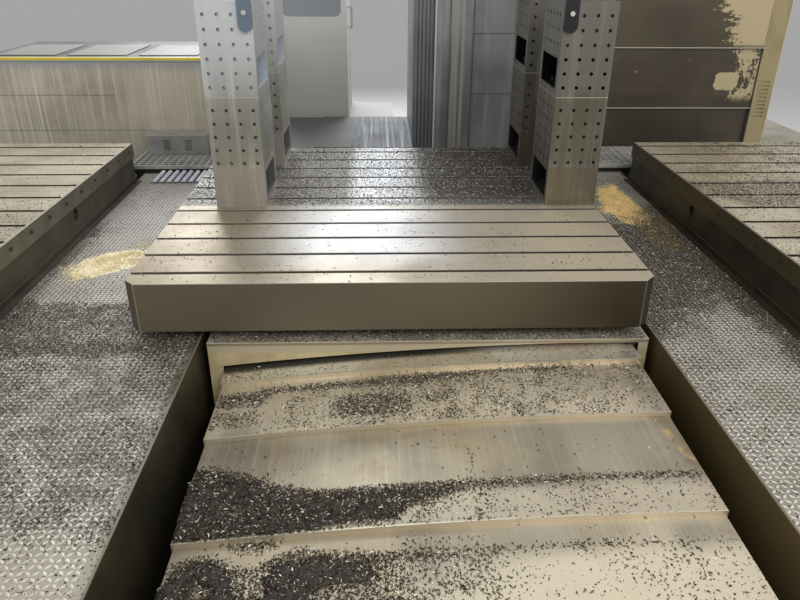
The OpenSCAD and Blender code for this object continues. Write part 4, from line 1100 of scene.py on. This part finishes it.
# the chip bed is painted dark to stand for the shade in the gaps between the chips
bedLook = tones((46, 40, 33), (26, 22, 19), streak=(96, 86, 74), mottle=30, grain=(160, 160, 160),
                streaks=0.8, rough=0.6, metal=0.2, grit=420, gritShare=0.5, gritTone=tint(104, 94, 82),
                bump=1.0, depth=0.004)
moundPaint = surface("chipBed", bedLook)
pileMost = (26000, 22000)


def thirdDepth(x, y):  # how far inside the pile's edges a place on the third cover is
    inner = np.minimum(follow(x, pileEdges["thirdTop"]) - y, y - follow(x, pileEdges["thirdFoot"]) + 0.03)
    return inner * (1 - ramp(x, 0.0, 0.3))


def fourthDepth(x, y):
    return (follow(x, pileEdges["fourthTop"]) - y) * (1 - ramp(x, -0.3, 0.05))


for i, (y0, y1, depth) in enumerate(((-2.354, -1.95, thirdDepth), (-2.89, -2.4, fourthDepth))):
    body = coverBodies[i + 2]
    low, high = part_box("front_cover_%d" % (i + 3))
    area = ((low[0] + 0.003, y0), (0.3, y1))
    wave = patchiness(7.0, -0.6, 0.5, 40 + i)

    def rise(x, y, depth=depth, wave=wave, ends=(y0, y1), k=i):
        near, far = ends
        rim = ramp(y, near, near + 0.02) * (1 - ramp(y, far - 0.01, far))
        deep = (0.35 + 0.65 * wave(x, y)) if k == 0 else ramp(wave(x, y), 0.25, 0.8)
        return 0.024 * ramp(depth(x, y), 0.0, 0.11) * deep * rim - 0.0008

    mound("chipPile%d" % (i + 3), body, area, lambda x, y, k=i + 2: coverTop(k, x) + 0.0002, rise,
          moundPaint)

    def covered(x, y, depth=depth, wave=wave, k=i):
        return ramp(depth(x, y), -0.004, 0.012) * (1 - 0.75 * k * (1 - ramp(wave(x, y), 0.1, 0.6)))

    chipField("pileChips%d" % (i + 3), body, area,
              lambda x, y, k=i + 2, rise=rise: coverTop(k, x) + 0.001 + np.maximum(rise(x, y), 0),
              covered, pileMost[i], 50 + i, 1.2, 0.9, clump=False, step=0.02)

heapAreas = {"left": ((-1.97, -0.66), (-1.36, 0.12)), "right": ((1.4, 0.06), (1.98, 1.4))}
for seed, (side, area) in enumerate(heapAreas.items(), 31):
    ragged = patchiness(9.0, -0.5, 0.6, seed)
    torn = patchiness(38.0, -0.4, 0.4, seed + 3)

    def spread(x, y, side=side, ragged=ragged, torn=torn):
        bend = ragged(y * 0.6 + 3, x * 0.6) - 0.5
        share = heapShare(x + 0.14 * bend, y + 0.2 * bend, side)
        return share * (0.2 + 1.0 * ragged(x, y)) * (0.55 + 0.65 * torn(x, y))

    def heaped(x, y, spread=spread):
        return 0.012 * ramp(spread(x, y), 0.4, 1.1) - 0.0008

    mound(side + "Heap", "frame", area, lambda x, y: tops["deck"] + 0.0002 + 0 * x, heaped, grainPaint,
          seed=seed)
    xs = np.linspace(area[0][0], area[1][0], 40)
    ys = np.linspace(area[0][1], area[1][1], 50)

    def heapTop(x, y, heaped=heaped):
        return tops["deck"] + 0.001 + np.maximum(heaped(x, y), 0)

    carrier = sheetGrid(side + "HeapCarrier", xs, ys, heapTop, spread)
    grow(carrier, scatter, {"Most": 42000, "Seed": seed, "Size": 0.0075, "Tilt": 0.6, "Shapes": grainShapes,
                            "Finish": grainPaint}, side + "HeapGrains", "frame")

treadLook = {"pitch": 0.025, "length": 0.029, "width": 0.011, "height": 0.0015}


def treadLug():
    half, side, tall = treadLook["length"] / 2, treadLook["width"] / 2, treadLook["height"]
    points = [(-half, 0, 0), (0, -side, 0), (half, 0, 0), (0, side, 0), (-half * 0.5, 0, tall),
              (half * 0.5, 0, tall)]
    data = bpy.data.meshes.new("treadLug")
    faces = [(3, 2, 1, 0), (0, 1, 4), (1, 5, 4), (1, 2, 5), (2, 3, 5), (3, 4, 5), (3, 0, 4)]
    data.from_pydata(points, [], faces)
    return plainObject("treadLug", data)


tread = treadTree()
for side in ("left", "right"):
    low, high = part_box("deck_" + side)
    pitch = treadLook["pitch"]
    start = (low[0] + 0.02, low[1] + 0.02, high[2])
    columns = int((high[0] - low[0] - 0.03) / pitch)
    rows = int((high[1] - low[1] - 0.03) / pitch)
    grow(treadLug(), tread, {
        "Columns": columns, "Rows": rows, "Pitch": pitch, "Start": start, "Finish": lugPaint[side]},
        side + "Tread", "frame")

for group in (chipShapes, grainShapes):
    for shape in list(group.objects):
        bpy.data.objects.remove(shape)
    bpy.data.collections.remove(group)
